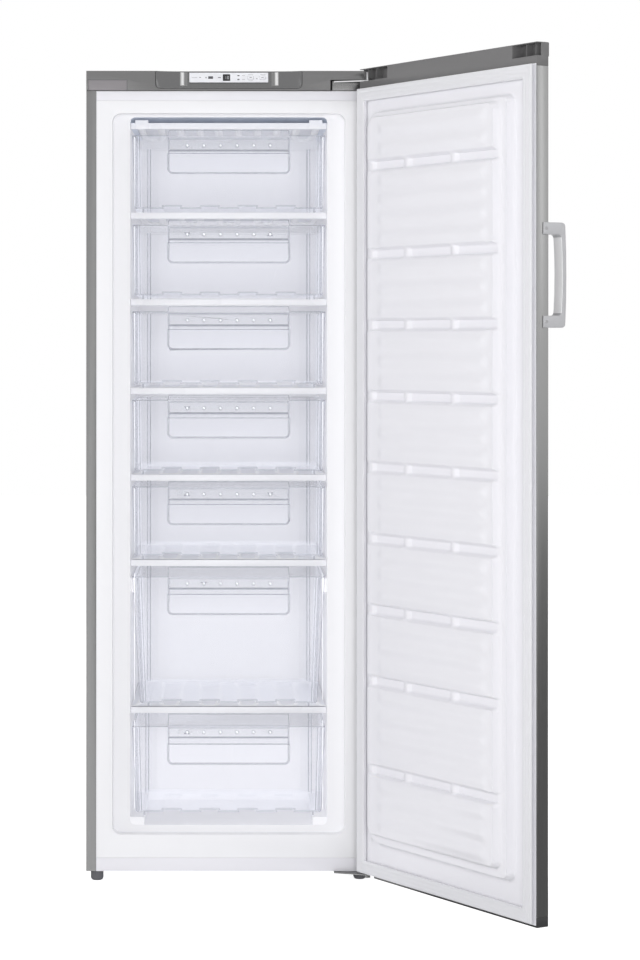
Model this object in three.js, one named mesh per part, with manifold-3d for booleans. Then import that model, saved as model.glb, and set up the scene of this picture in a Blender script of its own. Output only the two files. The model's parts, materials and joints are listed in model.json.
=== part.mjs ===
// Upright freezer, about 60 x 171 x 62 cm, with seven clear drawers on evaporator shelves and one door
// that stands open. Millimetres, +Z up, +Y towards the wall. The solids are built about the middle of
// the cabinet's front plane and shifted at the end, so that the origin is the sole of the front left foot.
import * as THREE from 'three';
import { mergeVertices } from 'three/addons/utils/BufferGeometryUtils.js';
import Module from 'manifold-3d';

const wasm = await Module();
wasm.setup();

// ---------- driving dimensions ----------

// Fits
const SEAT = 0.3; // gap between pieces that rest on or are fixed to each other
const SLIDE = 1.2; // running clearance of a drawer
const STEEL = 0.8; // painted sheet of the case, door and back
const PLASTIC = 2; // formed and moulded walls

// Cabinet
const CABINET_WIDTH = 600;
const CABINET_HEIGHT = 1706; // floor to the top
const CABINET_DEPTH = 550; // front plane to the back panel
const FOOT_HEIGHT = 21; // floor to the underside of the cabinet
const FLANGE_WIDTH = 21; // folded front edge of the side panel
const FLANGE_LIP = 10;
const REAR_LIP = 16;
const TOP_MOULDING_HEIGHT = 41; // fascia and top panel above the foamed case
const FASCIA_DEPTH = 60;
const FASCIA_PROUD = 3;
const FRONT_RAIL_TOP = 22;
const FRONT_RAIL_BOTTOM = 28;
const RAIL_DEPTH = 24;

// Liner
const RIM_SIDE_INSET = 55; // case side to the stepped mouth
const RIM_TOP_INSET = 48; // fascia to the stepped mouth
const RIM_BOTTOM_INSET = 77; // underside of the cabinet to the stepped mouth
const RIM_DEPTH = 28;
const RIM_RADIUS = 18;
const WALL_SIDE = 91.5; // case side to the storage space
const WALL_FLOOR = 92.5;
const RIM_TO_CEILING = 6;
const BACK_WALL = 75; // back panel to the storage space
const CAVITY_RADIUS = 10;
const CAVITY_DRAFT = 3; // how much narrower the back is on each side
const STEP_DEPTH = 218; // foot of the step over the compressor to the back panel
const STEP_HEIGHT = 205;
const STEP_LEAN = 22;
const LEDGE_REACH = 11; // side ledges that carry the shelves
const LEDGE_HEIGHT = 8;
const RAIL_REACH = 9; // rails under the rim of the tall drawer
const RAIL_HEIGHT = 30;
const STEP_RIB_WIDTH = 21;
const STEP_RIB_PROUD = 2.4;
const STEP_RIB_PLACE = 153;
const FLOOR_LEDGE_WIDTH = 30;
const FLOOR_LEDGE_HEIGHT = 16;

// Compressor bay
const BAY_DEPTH = 158; // front wall of the bay to the back panel
const BAY_HEIGHT = 240;
const BAY_SHOULDER = 62;
const BAY_LEAN = 46;
const DECK_THICKNESS = 1.5;

// Shelves, from the top: distance between the tops of neighbouring shelves, for a storage height of 1497.5
const TOP_SHELF_DROP = 11;
const SHELF_PITCHES = [190, 184, 188, 184, 181, 312];
const PITCH_REFERENCE = 1497.5;
const TRIM_HEIGHT = 13;
const TRIM_DEPTH = 15;
const TRIM_FRONT = 42; // front plane to the face of a shelf trim
const TRIM_WALL = 1.3;
const SHELF_PLATE = 1.5;
const SHELF_BACK_GAP = 14;
const CHANNEL_PITCH = 42; // refrigerant channel under a shelf
const CHANNEL_RADIUS = 4;
const CHANNEL_MARGIN = 15; // side of the storage space to the last channel

// Drawers
const DRAWER_FRONT = 46;
const DRAWER_WALL = 2;
const DRAWER_BACK_GAP = 22;
const DRAWER_SIDE_GAP = 2.5;
const DRAWER_TAPERS = [5, 5, 5, 5, 5, 16.8, 8]; // side rim to the floor, from the top drawer down
const DRAWER_RADIUS = 12;
const DRAWER_RIMS = [3, 3, 3, 3, 3, 6.8, 3]; // width of the rim outside the tub
const RIM_THICKNESS = 3;
const SKID_HEIGHT = 8;
const SKID_WIDTH = 4;
const SKID_INSET = 18;
const RIB_WIDTH = 36; // raised channels in a drawer's floor
const RIB_HEIGHT = 4.5;
const RIB_PITCH = 80.5;
const RIB_SHARE = 0.66; // of the drawer's length
const RIM_DROP = 13; // shelf trim to the drawer's side rim
const EXTRA_DROPS = [0, 0, 0, 0, 0, 10, 16]; // how much lower the rims of the two deep drawers are
const SCOOP_WIDTH = 255;
const SCOOP_DEPTH = 40;
const SCOOP_CEILING_DROP = 4.7;
const SCOOP_BACK_HEIGHT = 23.6;
const SCOOP_LIP_DROP = 10.4;
const SCOOP_OPENING = 40;
const SCOOP_RADIUS = 9;
const GRIP_WALL = 7;
const NUB_RADIUS = 3.5;
const NUB_PITCH = 35.5;
const NUB_COUNT = 6;

// Door, measured shut
const DOOR_OPEN_ANGLE = 121.5; // degrees, as it stands
const DOOR_THICKNESS = 42; // outer face to the gasket's sealing face
const DOOR_SIDE_GAP = 2; // case side to the door's edge
const SKIN_DEPTH = 29.6;
const SKIN_HEM = 9;
const SKIN_CORNER = 3;
const TOP_CAP_HEIGHT = 45;
const BOTTOM_CAP_HEIGHT = 19;
const PIN_INSET = 6.5; // door's edge to the hinge pin
const PIN_DEPTH = 13.5; // outer face to the hinge pin
const PIN_RADIUS = 4;
const BUSH_WALL = 3.5;
const BUSH_HEIGHT = 10;
const PIN_SHORT = 1; // hinge pin's end to the bottom of its bush
const HINGE_POCKET_LENGTH = 100;
const SPARE_POCKET_LENGTH = 77;
const CAP_LID = 1.3;
const CAP_WEB = 1.6;
const CAP_WEB_SET_BACK = 10; // back of the cap to the edge of a web
const HINGE_POCKET_HEIGHT = 26;
const HINGE_POCKET_WALL = 4.5;
const POCKET_CORNER = 12; // thinner front wall at the door's edge
const POCKET_CORNER_WALL = 2;
const FOOT_POCKET_LENGTH = 52;
const FOOT_POCKET_HEIGHT = 9;
const LINER_FLANGE_INSET = 2;
const DYKE_SIDE_INSET = 67.5; // door's edge to the foot of the raised panel
const DYKE_TOP_INSET = 97.5;
const DYKE_BOTTOM_INSET = 81;
const DYKE_FIRST_RISE = 6.8; // past the cabinet's front plane
const DYKE_SECOND_RISE = 23;
const DYKE_LEDGE = 23.5;
const DYKE_LEDGE_TOP = 11.5;
const DYKE_LEDGE_BOTTOM = 20;
const DYKE_DRAFT = 2.5;
const DYKE_RADIUS = 16;
const GROOVE_HEIGHT = 21; // storage grooves across the panel
const GROOVE_FLOOR = 4;
const GROOVE_DROPS = [208, 390, 536, 682, 828, 975, 1121, 1268, 1450]; // door's top to each groove
const GROOVE_REFERENCE = 1685; // door height that the drops are drawn for
const TAB_WIDTH = 17;
const TAB_RISE = 10;
const TAB_PLACES = [-79, 91, 188];
const RIPPLE_PITCH = 38;
const RIPPLE_RISE = 2;
const RIPPLE_HEIGHT = 18;
const RIPPLE_INSET = 16;
const GASKET_WIDTH = 26.5;
const GASKET_EDGE = 4.5;
const GASKET_FOOT = 4; // height of the narrow foot under the sealing bulb
const GASKET_FOOT_INSET = 6;

// Handle
const HANDLE_BOTTOM = 1162;
const HANDLE_LENGTH = 201;
const HANDLE_REACH = 37;
const HANDLE_WIDTH = 25;
const HANDLE_BAR = 10;
const HANDLE_ARM = 23;
const HANDLE_BOW = 2.5;
const HANDLE_RADIUS = 9;
const HANDLE_WRAP = 16;
const HANDLE_WRAP_WALL = 2.2;

// Hinges
const HINGE_PLATE = 3;
const HINGE_WIDTH = 78;
const HINGE_TONGUE = 72;
const HINGE_END_RADIUS = 6.5;
const HINGE_EDGE = 2; // hinge pin to the tongue's outer edge, so that the door's corner clears it
const BOSS_RADIUS = 3.2; // end of the pin above the tongue
const BOSS_HEIGHT = 17;
const HINGE_FLANGE = 40;
const HINGE_SIDE_INSET = 4;
const UPPER_HINGE_RISE = 16.5; // top of the foamed case to the underside of the tongue
const HINGE_SLOT_WIDTH = 82;
const HINGE_SLOT_HEIGHT = 22;

// Controls
const BEZEL_HALF = 152.5;
const BEZEL_BOTTOM = 35; // top of the fascia to the foot of the recess
const BEZEL_DEPTH = 11;
const BEZEL_CURVE = 56;
const BEZEL_RADIUS = 8;
const BEZEL_WALL = 1.5;
const BEZEL_GAP = 0.9; // shadow line between the bezel and the fascia
const STRIP_HALF = 83;
const STRIP_HEIGHT = 20.6;
const STRIP_DROP = 3;
const STRIP_THICKNESS = 2.2;
const WINDOW_WIDTH = 15;
const WINDOW_HEIGHT = 13.6;
const WINDOW_PLACE = -4.8;
const KEY_WIDTH = 12;
const KEY_HEIGHT = 7;
const KEY_PLACES = { mode_key: 46, set_key: 71 };
const KEY_PROUD = 1.3;
const KEY_TRAVEL = 0.8;

// Feet
const FOOT_RADIUS = 13.5;
const FOOT_SIDE_INSET = 22.5;
const FOOT_FRONT_LEFT = 18; // front plane to the foot's axis
const FOOT_FRONT_RIGHT = 30;
const FOOT_RIBS = 18;
const FOOT_RIB_DEPTH = 0.8;
const STUD_RADIUS = 5;
const STUD_LENGTH = 22;
const REAR_FOOT_RADIUS = 15;
const REAR_FOOT_INSET = 30;

// Cooling circuit
const CONDENSER_RUNS = 12;
const CONDENSER_PITCH = 102;
const CONDENSER_HALF = 222;
const CONDENSER_STANDOFF = 21;
const CONDENSER_TUBE = 2.4;
const CONDENSER_WIRES = 5;
const WIRE = 1.6;
const STRAP_WIDTH = 12;
const COMPRESSOR_PLACE = -105;
const COMPRESSOR_HALF_X = 84;
const COMPRESSOR_HALF_Y = 62;
const COMPRESSOR_HEIGHT = 165;
const GROMMET_HEIGHT = 12;
const GROMMET_RADIUS = 10;
const PIPE_RADIUS = 3.2;
const DISCHARGE_BEND = 13;
const DRIER_NECK = 2.5;
const DRIER_LENGTH = 130;

// ---------- dimensions that follow ----------

const half = CABINET_WIDTH / 2;
const caseTop = CABINET_HEIGHT - TOP_MOULDING_HEIGHT - SEAT;
const flangeInside = half - FLANGE_WIDTH;
const linerHalf = flangeInside - SEAT;
const linerBottom = FOOT_HEIGHT + FRONT_RAIL_BOTTOM + SEAT;
const linerTop = caseTop + SEAT - FRONT_RAIL_TOP;
const rimHalf = half - RIM_SIDE_INSET;
const rimTop = caseTop + SEAT - RIM_TOP_INSET;
const rimBottom = FOOT_HEIGHT + RIM_BOTTOM_INSET;
const cavityHalf = half - WALL_SIDE;
const cavityFloor = FOOT_HEIGHT + WALL_FLOOR;
const cavityCeiling = rimTop - RIM_TO_CEILING;
const cavityBack = CABINET_DEPTH - BACK_WALL;
const stepTop = cavityFloor + STEP_HEIGHT;
const stepFront = CABINET_DEPTH - STEP_DEPTH;
const bayFront = CABINET_DEPTH - BAY_DEPTH;

const shelfTops = [cavityCeiling - TOP_SHELF_DROP];
for (const pitch of SHELF_PITCHES) {
  const stretch = (cavityCeiling - cavityFloor) / PITCH_REFERENCE;
  shelfTops.push(shelfTops[shelfTops.length - 1] - pitch * stretch);
}

const doorHalf = half - DOOR_SIDE_GAP;
const doorTop = CABINET_HEIGHT;
const doorBottom = FOOT_HEIGHT;
const doorHeight = doorTop - doorBottom;
const grooveDrops = GROOVE_DROPS.map((drop) => (drop * doorHeight) / GROOVE_REFERENCE);
const doorFace = -DOOR_THICKNESS - SEAT;
const skinBack = doorFace + SKIN_DEPTH;
const flangeFace = skinBack + SEAT + PLASTIC;
const pinX = doorHalf - PIN_INSET;
const pinY = doorFace + PIN_DEPTH;
const feet = {
  left: { x: FOOT_SIDE_INSET - half, y: FOOT_FRONT_LEFT },
  right: { x: half - FOOT_SIDE_INSET, y: FOOT_FRONT_RIGHT },
};
const fasciaBottom = caseTop + SEAT;
const fasciaFace = -FASCIA_PROUD;
const tongueBottom = caseTop + UPPER_HINGE_RISE;
const lowerPlateTop = FOOT_HEIGHT - SEAT;

// ---------- solids ----------

/** Makes a closed three.js geometry into a solid that can be cut and joined. */
function solidOf(geometry) {
  const bare = geometry.clone();
  bare.deleteAttribute('normal');
  bare.deleteAttribute('uv');
  const merged = mergeVertices(bare, 1e-4);
  return new wasm.Manifold(new wasm.Mesh({
    numProp: 3,
    vertProperties: new Float32Array(merged.attributes.position.array),
    triVerts: new Uint32Array(merged.index.array),
  }));
}

/** Joins several solids into one. */
function join(solids) {
  return solids.reduce((whole, piece) => whole.add(piece));
}

/** Cuts several solids out of one. */
function cut(body, tools) {
  return tools.reduce((rest, tool) => rest.subtract(tool), body);
}

function block(x0, x1, y0, y1, z0, z1) {
  const geometry = new THREE.BoxGeometry(x1 - x0, y1 - y0, z1 - z0);
  geometry.translate((x0 + x1) / 2, (y0 + y1) / 2, (z0 + z1) / 2);
  return solidOf(geometry);
}

/** A round bar along Z. */
function bar(x, y, radius, z0, z1, sides = 20) {
  const geometry = new THREE.CylinderGeometry(radius, radius, z1 - z0, sides);
  geometry.rotateX(Math.PI / 2);
  geometry.translate(x, y, (z0 + z1) / 2);
  return solidOf(geometry);
}

function extrusion(shape, depth) {
  return new THREE.ExtrudeGeometry(shape, { depth, bevelEnabled: false, curveSegments: 4 });
}

/** Extrudes an outline drawn in Y and Z from x0 to x1. */
function alongX(shape, x0, x1) {
  const geometry = extrusion(shape, x1 - x0);
  geometry.applyMatrix4(new THREE.Matrix4().set(0, 0, 1, x0, 1, 0, 0, 0, 0, 1, 0, 0, 0, 0, 0, 1));
  return solidOf(geometry);
}

/** Extrudes an outline drawn in X and Z from y0 to y1. */
function alongY(shape, y0, y1) {
  const geometry = extrusion(shape, y1 - y0);
  geometry.rotateX(Math.PI / 2);
  geometry.translate(0, y1, 0);
  return solidOf(geometry);
}

/** Extrudes an outline drawn in X and Y from z0 to z1. */
function alongZ(shape, z0, z1) {
  const geometry = extrusion(shape, z1 - z0);
  geometry.translate(0, 0, z0);
  return solidOf(geometry);
}

function polygon(points) {
  return new THREE.Shape(points.map(([a, b]) => new THREE.Vector2(a, b)));
}

function roundedRect(a0, b0, a1, b1, radius) {
  const r = Math.min(radius, (a1 - a0) / 2.1, (b1 - b0) / 2.1);
  const shape = new THREE.Shape();
  shape.moveTo(a0 + r, b0);
  shape.lineTo(a1 - r, b0);
  shape.absarc(a1 - r, b0 + r, r, -Math.PI / 2, 0);
  shape.lineTo(a1, b1 - r);
  shape.absarc(a1 - r, b1 - r, r, 0, Math.PI / 2);
  shape.lineTo(a0 + r, b1);
  shape.absarc(a0 + r, b1 - r, r, Math.PI / 2, Math.PI);
  shape.lineTo(a0, b0 + r);
  shape.absarc(a0 + r, b0 + r, r, Math.PI, Math.PI * 1.5);
  return shape;
}

/** Moves an open line of points to its left by a distance, with mitred corners. */
function offsetLine(points, distance) {
  const line = points.map(([a, b]) => new THREE.Vector2(a, b));
  const normals = line.slice(1).map((point, i) => {
    const along = point.clone().sub(line[i]).normalize();
    return new THREE.Vector2(-along.y, along.x);
  });
  return line.map((point, i) => {
    const before = normals[Math.max(i - 1, 0)];
    const after = normals[Math.min(i, normals.length - 1)];
    const mitre = before.clone().add(after).divideScalar(1 + before.dot(after));
    return [point.x + mitre.x * distance, point.y + mitre.y * distance];
  });
}

/** The section of a bent sheet whose material lies to the left of a line of points. */
function sheet(points, thickness) {
  return polygon([...points, ...offsetLine(points, thickness).reverse()]);
}

/** Joins rings of points, all of one count, into a closed body with flat ends. */
function loft(rings) {
  const count = rings[0].length;
  const positions = rings.flat().flatMap((point) => [point.x, point.y, point.z]);
  const index = [];
  for (let ring = 0; ring + 1 < rings.length; ring++) {
    for (let i = 0; i < count; i++) {
      const a = ring * count + i;
      const b = ring * count + ((i + 1) % count);
      index.push(a, b, b + count, a, b + count, a + count);
    }
  }
  const last = (rings.length - 1) * count;
  for (let i = 1; i + 1 < count; i++) {
    index.push(0, i + 1, i, last, last + i, last + i + 1);
  }
  const geometry = new THREE.BufferGeometry();
  geometry.setAttribute('position', new THREE.Float32BufferAttribute(positions, 3));
  geometry.setIndex(signedVolume(positions, index) < 0 ? index.reverse() : index);
  return solidOf(geometry);
}

function signedVolume(positions, index) {
  const corner = (i) => new THREE.Vector3().fromArray(positions, index[i] * 3);
  let volume = 0;
  for (let i = 0; i < index.length; i += 3) {
    volume += corner(i).dot(corner(i + 1).cross(corner(i + 2)));
  }
  return volume;
}

/** Points of a rounded rectangle, placed in space by a function of its two coordinates. */
function rectRing(a0, b0, a1, b1, radius, place, steps = 3) {
  const r = Math.min(radius, (a1 - a0) / 2.1, (b1 - b0) / 2.1);
  const corners = [[a1 - r, b0 + r, -90], [a1 - r, b1 - r, 0], [a0 + r, b1 - r, 90], [a0 + r, b0 + r, 180]];
  return corners.flatMap(([a, b, start]) => {
    return Array.from({ length: steps + 1 }, (_, i) => {
      const angle = THREE.MathUtils.degToRad(start + (90 * i) / steps);
      return place(a + r * Math.cos(angle), b + r * Math.sin(angle));
    });
  });
}

/** A round tube along a line of points. */
function tube(path, radius, sides = 6) {
  let side = new THREE.Vector3(0.31, 0.83, 0.47);
  const rings = path.map((point, i) => {
    const ahead = path[Math.min(i + 1, path.length - 1)];
    const behind = path[Math.max(i - 1, 0)];
    const along = ahead.clone().sub(behind).normalize();
    side = side.projectOnPlane(along).normalize();
    const other = along.clone().cross(side);
    return Array.from({ length: sides }, (_, k) => {
      const angle = (2 * Math.PI * k) / sides;
      const spoke = side.clone().multiplyScalar(radius * Math.cos(angle));
      return point.clone().add(spoke).addScaledVector(other, radius * Math.sin(angle));
    });
  });
  return loft(rings);
}

/** A snake of parallel runs joined by half turns, placed in space by a function of run and cross. */
function serpentine(runs, pitch, length, steps, place) {
  const turn = pitch / 2;
  const reach = length / 2 - turn;
  const first = -((runs - 1) / 2) * pitch;
  const path = [place(-reach, first)];
  for (let run = 0; run + 1 < runs; run++) {
    const way = run % 2 === 0 ? 1 : -1;
    for (let i = 0; i <= steps; i++) {
      const angle = (Math.PI * i) / steps;
      const out = reach + turn * Math.sin(angle);
      path.push(place(way * out, first + run * pitch + turn - turn * Math.cos(angle)));
    }
  }
  path.push(place(runs % 2 === 0 ? -reach : reach, -first));
  return path;
}

// ---------- materials ----------

function finish(color, roughness, metalness = 0, extra = {}) {
  return new THREE.MeshStandardMaterial({ color, roughness, metalness, ...extra });
}

const silverSteel = finish(0x8f9092, 0.38, 0.85);
const whitePlastic = finish(0xf1f1f4, 0.4);
const whiteSteel = finish(0xf0f0f3, 0.35, 0.1);
const greyPlastic = finish(0x7c7b7c, 0.45, 0.3);
const darkPlastic = finish(0x2d2d30, 0.55);
const zincSteel = finish(0xc9cccf, 0.4, 0.9);
const silverPaint = finish(0xb3b5b8, 0.4, 0.5);
const clearPlastic = finish(0xe6ebf2, 0.12, 0, { transparent: true, opacity: 0.35 });
const foam = finish(0xe6d8a8, 0.95);
const whiteEnamel = finish(0xe9ebef, 0.45);
const softWhite = finish(0xf4f4f6, 0.6);
const blackPaint = finish(0x1b1c1e, 0.4, 0.3);
const copper = finish(0xb87748, 0.35, 0.9);
const smokedGlass = finish(0x3c3c40, 0.15);

function part(name, solid, material) {
  const mesh = solid.getMesh();
  const geometry = new THREE.BufferGeometry();
  geometry.setAttribute('position', new THREE.BufferAttribute(mesh.vertProperties, 3));
  geometry.setIndex(new THREE.BufferAttribute(mesh.triVerts, 1));
  geometry.computeVertexNormals();
  const piece = new THREE.Mesh(geometry, material);
  piece.name = name;
  return piece;
}

// ---------- cabinet shell ----------

/** Side panel section, seen from above: lip, front flange, side and rear lip. */
function sidePanelLine() {
  return [
    [half - REAR_LIP, CABINET_DEPTH],
    [half, CABINET_DEPTH],
    [half, 0],
    [flangeInside, 0],
    [flangeInside, FLANGE_LIP],
  ].reverse();
}

/** The folded steel wrap: two sides with front flanges, and the sheet across the top. */
function outerCase() {
  const right = sidePanelLine();
  const left = right.map(([x, y]) => [-x, y]).reverse();
  const roof = block(-half, half, 0, CABINET_DEPTH, caseTop - STEEL, caseTop);
  const sides = [right, left].map((line) => alongZ(sheet(line, STEEL), FOOT_HEIGHT, caseTop));
  return join([roof, ...sides]);
}

/** Back sheet with pressed stiffening ribs. */
function backPanel() {
  const front = CABINET_DEPTH + SEAT;
  const ribHalf = 16;
  const ribRise = 4;
  const line = [[-half + SEAT, front]];
  for (const middle of [-half / 3, 0, half / 3]) {
    line.push([middle - ribHalf, front], [middle - ribHalf + ribRise, front + ribRise]);
    line.push([middle + ribHalf - ribRise, front + ribRise], [middle + ribHalf, front]);
  }
  line.push([half - SEAT, front]);
  return alongZ(sheet(line, STEEL), FOOT_HEIGHT + BAY_HEIGHT, caseTop);
}

/** A channel rail across the front, open to the back. */
function frontRail(z0, z1) {
  const line = [[RAIL_DEPTH, z0], [0, z0], [0, z1], [RAIL_DEPTH, z1]].reverse();
  return alongX(sheet(line, STEEL), -linerHalf, linerHalf);
}

function upperRail() {
  return frontRail(linerTop + SEAT, caseTop - STEEL - SEAT);
}

function lowerRail() {
  const rail = frontRail(FOOT_HEIGHT, FOOT_HEIGHT + FRONT_RAIL_BOTTOM);
  return cut(rail, [studRoom(feet.left)]);
}

/** Front view and depth of the stepped mouth and the storage space behind it, grown by a distance. */
function storageSpace(grow) {
  const mouth = roundedRect(
    -rimHalf - grow, rimBottom - grow, rimHalf + grow, rimTop + grow, RIM_RADIUS + grow,
  );
  const ring = (y, inset) => rectRing(
    inset - cavityHalf - grow, cavityFloor - grow, cavityHalf + grow - inset, cavityCeiling + grow,
    CAVITY_RADIUS + grow, (x, z) => new THREE.Vector3(x, y, z),
  );
  const room = loft([ring(RIM_DEPTH / 2, 0), ring(cavityBack + grow, CAVITY_DRAFT)]);
  const step = polygon([
    [stepFront + grow, 0],
    [stepFront + grow, cavityFloor],
    [stepFront + STEP_LEAN + grow, stepTop - grow],
    [CABINET_DEPTH, stepTop - grow],
    [CABINET_DEPTH, 0],
  ]);
  return join([alongY(mouth, -1, RIM_DEPTH + grow), cut(room, [alongX(step, -half, half)])]);
}

/** Ledges on the side walls that carry the shelves, and the two that carry the lowest drawer. */
function linerLedges() {
  const ledges = [];
  for (const side of [-1, 1]) {
    const wall = side * (cavityHalf + PLASTIC / 2);
    for (const top of shelfTops) {
      const inner = side * (cavityHalf - LEDGE_REACH);
      const z1 = top - TRIM_WALL - SHELF_PLATE - SEAT;
      const shelf = polygon([[wall, z1], [inner, z1], [wall, z1 - LEDGE_HEIGHT]]);
      ledges.push(alongY(shelf, TRIM_FRONT + TRIM_DEPTH + SEAT, cavityBack - SHELF_BACK_GAP));
    }
    const inner = side * (cavityHalf - FLOOR_LEDGE_WIDTH);
    const xs = [Math.min(wall, inner), Math.max(wall, inner)];
    const z1 = cavityFloor + FLOOR_LEDGE_HEIGHT;
    ledges.push(block(xs[0], xs[1], RIM_DEPTH + PLASTIC, stepFront + 1, cavityFloor - 1, z1));
  }
  return ledges;
}

/** Rails under the rim of the tall drawer, and three upright ribs on the face of the step. */
function linerRails() {
  const tall = DRAWER_RIMS.indexOf(Math.max(...DRAWER_RIMS));
  const z1 = drawerHeights(tall).rim - RIM_THICKNESS - SEAT;
  const rails = [-1, 1].map((side) => {
    const wall = side * (cavityHalf + PLASTIC / 2);
    const inner = side * (cavityHalf - RAIL_REACH);
    const xs = [Math.min(wall, inner), Math.max(wall, inner)];
    const front = DRAWER_FRONT + DRAWER_WALL + SLIDE;
    return block(xs[0], xs[1], front, cavityBack - DRAWER_BACK_GAP, z1 - RAIL_HEIGHT, z1);
  });
  const ribs = [-STEP_RIB_PLACE, 0, STEP_RIB_PLACE].map((x) => {
    const face = stepFront - STEP_RIB_PROUD;
    return alongX(polygon([
      [face, cavityFloor],
      [stepFront + PLASTIC / 2, cavityFloor],
      [stepFront + STEP_LEAN + PLASTIC / 2, stepTop - 1],
      [face + STEP_LEAN, stepTop - 1],
    ]), x - STEP_RIB_WIDTH / 2, x + STEP_RIB_WIDTH / 2);
  });
  return [...rails, ...ribs];
}

/** White formed liner: front frame, stepped mouth, storage space and the step over the compressor. */
function innerLiner() {
  const frame = block(-linerHalf, linerHalf, 0, PLASTIC, linerBottom, linerTop);
  const walls = join([storageSpace(PLASTIC), frame]);
  const front = block(-half, half, -3, 0, 0, CABINET_HEIGHT);
  const ledges = join([...linerLedges(), ...linerRails()]).intersect(storageSpace(PLASTIC / 2));
  return join([cut(walls, [storageSpace(0), front]), ledges]);
}

/** Bent sheet under the foam: front flange, floor, bay wall, shoulder and bay roof. */
function basePanLine() {
  const front = RAIL_DEPTH + SEAT;
  return [
    [front, FOOT_HEIGHT + FRONT_RAIL_BOTTOM - 4],
    [front, FOOT_HEIGHT],
    [bayFront, FOOT_HEIGHT],
    [bayFront, FOOT_HEIGHT + BAY_HEIGHT - BAY_SHOULDER],
    [bayFront + BAY_LEAN, FOOT_HEIGHT + BAY_HEIGHT],
    [CABINET_DEPTH - STEEL - SEAT, FOOT_HEIGHT + BAY_HEIGHT],
  ];
}

function basePan() {
  const inside = half - STEEL - SEAT;
  return cut(alongX(sheet(basePanLine(), STEEL), -inside, inside), [studRoom(feet.right)]);
}

/** Room for the stud of a screw foot. */
function studRoom(place) {
  return bar(place.x, place.y, STUD_RADIUS + SEAT, 0, FOOT_HEIGHT + STUD_LENGTH + SEAT, 12);
}

/** Foam that fills the room between the case, the liner and the base pan. */
function foamInsulation() {
  const inside = half - STEEL - SEAT;
  const gap = STEEL + SEAT;
  const front = PLASTIC + SEAT;
  const body = block(-inside, inside, front, CABINET_DEPTH - gap, FOOT_HEIGHT, caseTop - gap);
  const panTop = offsetLine(basePanLine(), gap);
  const below = polygon([
    [0, panTop[0][1]],
    ...panTop,
    [CABINET_DEPTH + 1, FOOT_HEIGHT + BAY_HEIGHT + gap],
    [CABINET_DEPTH + 1, 0],
    [0, 0],
  ]);
  const lipHalf = flangeInside - SEAT;
  const lips = [-1, 1].map((side) => {
    const xs = [side * lipHalf, side * (half + 1)].sort((a, b) => a - b);
    return block(xs[0], xs[1], 0, FLANGE_LIP + SEAT, 0, CABINET_HEIGHT);
  });
  const rail = block(-half, half, 0, RAIL_DEPTH + gap, linerTop, CABINET_HEIGHT);
  const lowRail = block(-half, half, 0, RAIL_DEPTH + gap + SEAT, 0, linerBottom + SEAT);
  const rears = [-1, 1].map((side) => {
    const xs = [side * (half - REAR_LIP - SEAT), side * (half + 1)].sort((a, b) => a - b);
    return block(xs[0], xs[1], CABINET_DEPTH - gap - SEAT, CABINET_DEPTH, 0, CABINET_HEIGHT);
  });
  const tools = [storageSpace(PLASTIC + SEAT), alongX(below, -half, half), rail, lowRail];
  return cut(body, [...tools, ...lips, ...rears, studRoom(feet.right)]);
}

/** Steel channel across the bay that carries the compressor. */
function compressorDeck() {
  const front = bayFront + SEAT;
  const lipHeight = 22;
  const line = [
    [front, FOOT_HEIGHT + lipHeight],
    [front, FOOT_HEIGHT],
    [CABINET_DEPTH - STEEL - SEAT, FOOT_HEIGHT],
    [CABINET_DEPTH - STEEL - SEAT, FOOT_HEIGHT + lipHeight],
  ];
  const inside = half - STEEL - SEAT;
  return alongX(sheet(line, DECK_THICKNESS), -inside, inside);
}

/** Plastic top with a skirt and ribs on its underside. */
function topPanel() {
  const front = FASCIA_DEPTH + SEAT;
  const z0 = fasciaBottom;
  const outer = block(-half, half, front, CABINET_DEPTH, z0, CABINET_HEIGHT);
  const ribs = [-half / 2, 0, half / 2].map((x) => {
    return block(x - 1, x + 1, front, CABINET_DEPTH, z0 + 8, CABINET_HEIGHT - PLASTIC);
  });
  const hollow = block(
    PLASTIC - half, half - PLASTIC, front + PLASTIC, CABINET_DEPTH - PLASTIC, z0 - 1, CABINET_HEIGHT - PLASTIC,
  );
  return join([cut(outer, [hollow]), ...ribs]);
}

// ---------- controls ----------

/** The shallow recess of the controls, with curved ends and rounded lower corners. */
function controlRecess(grow) {
  const back = fasciaFace + BEZEL_DEPTH + grow;
  const out = BEZEL_HALF + grow;
  const flat = out - BEZEL_CURVE;
  const plan = new THREE.Shape();
  plan.moveTo(-out, fasciaFace - 2);
  plan.lineTo(out, fasciaFace - 2);
  plan.lineTo(out, fasciaFace + grow);
  plan.quadraticCurveTo(flat + BEZEL_CURVE * 0.75, back, flat, back);
  plan.lineTo(-flat, back);
  plan.quadraticCurveTo(-flat - BEZEL_CURVE * 0.75, back, -out, fasciaFace + grow);
  const z0 = CABINET_HEIGHT - BEZEL_BOTTOM - grow;
  const front = roundedRect(-out, z0, out, CABINET_HEIGHT + BEZEL_BOTTOM, BEZEL_RADIUS + grow);
  return alongZ(plan, z0 - 1, CABINET_HEIGHT + 1).intersect(alongY(front, fasciaFace - 3, back + 1));
}

/** Slot in the fascia's foot for a hinge: the left one is closed by a cap. */
function hingeSlot(side, grow) {
  const outer = half - HINGE_SIDE_INSET + grow;
  const inner = half - HINGE_SIDE_INSET - HINGE_SLOT_WIDTH - grow;
  const xs = [side * inner, side * outer].sort((a, b) => a - b);
  const z1 = fasciaBottom + HINGE_SLOT_HEIGHT + grow;
  return block(xs[0], xs[1], fasciaFace - 1, fasciaFace + PLASTIC + 1, fasciaBottom - 1, z1);
}

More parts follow.
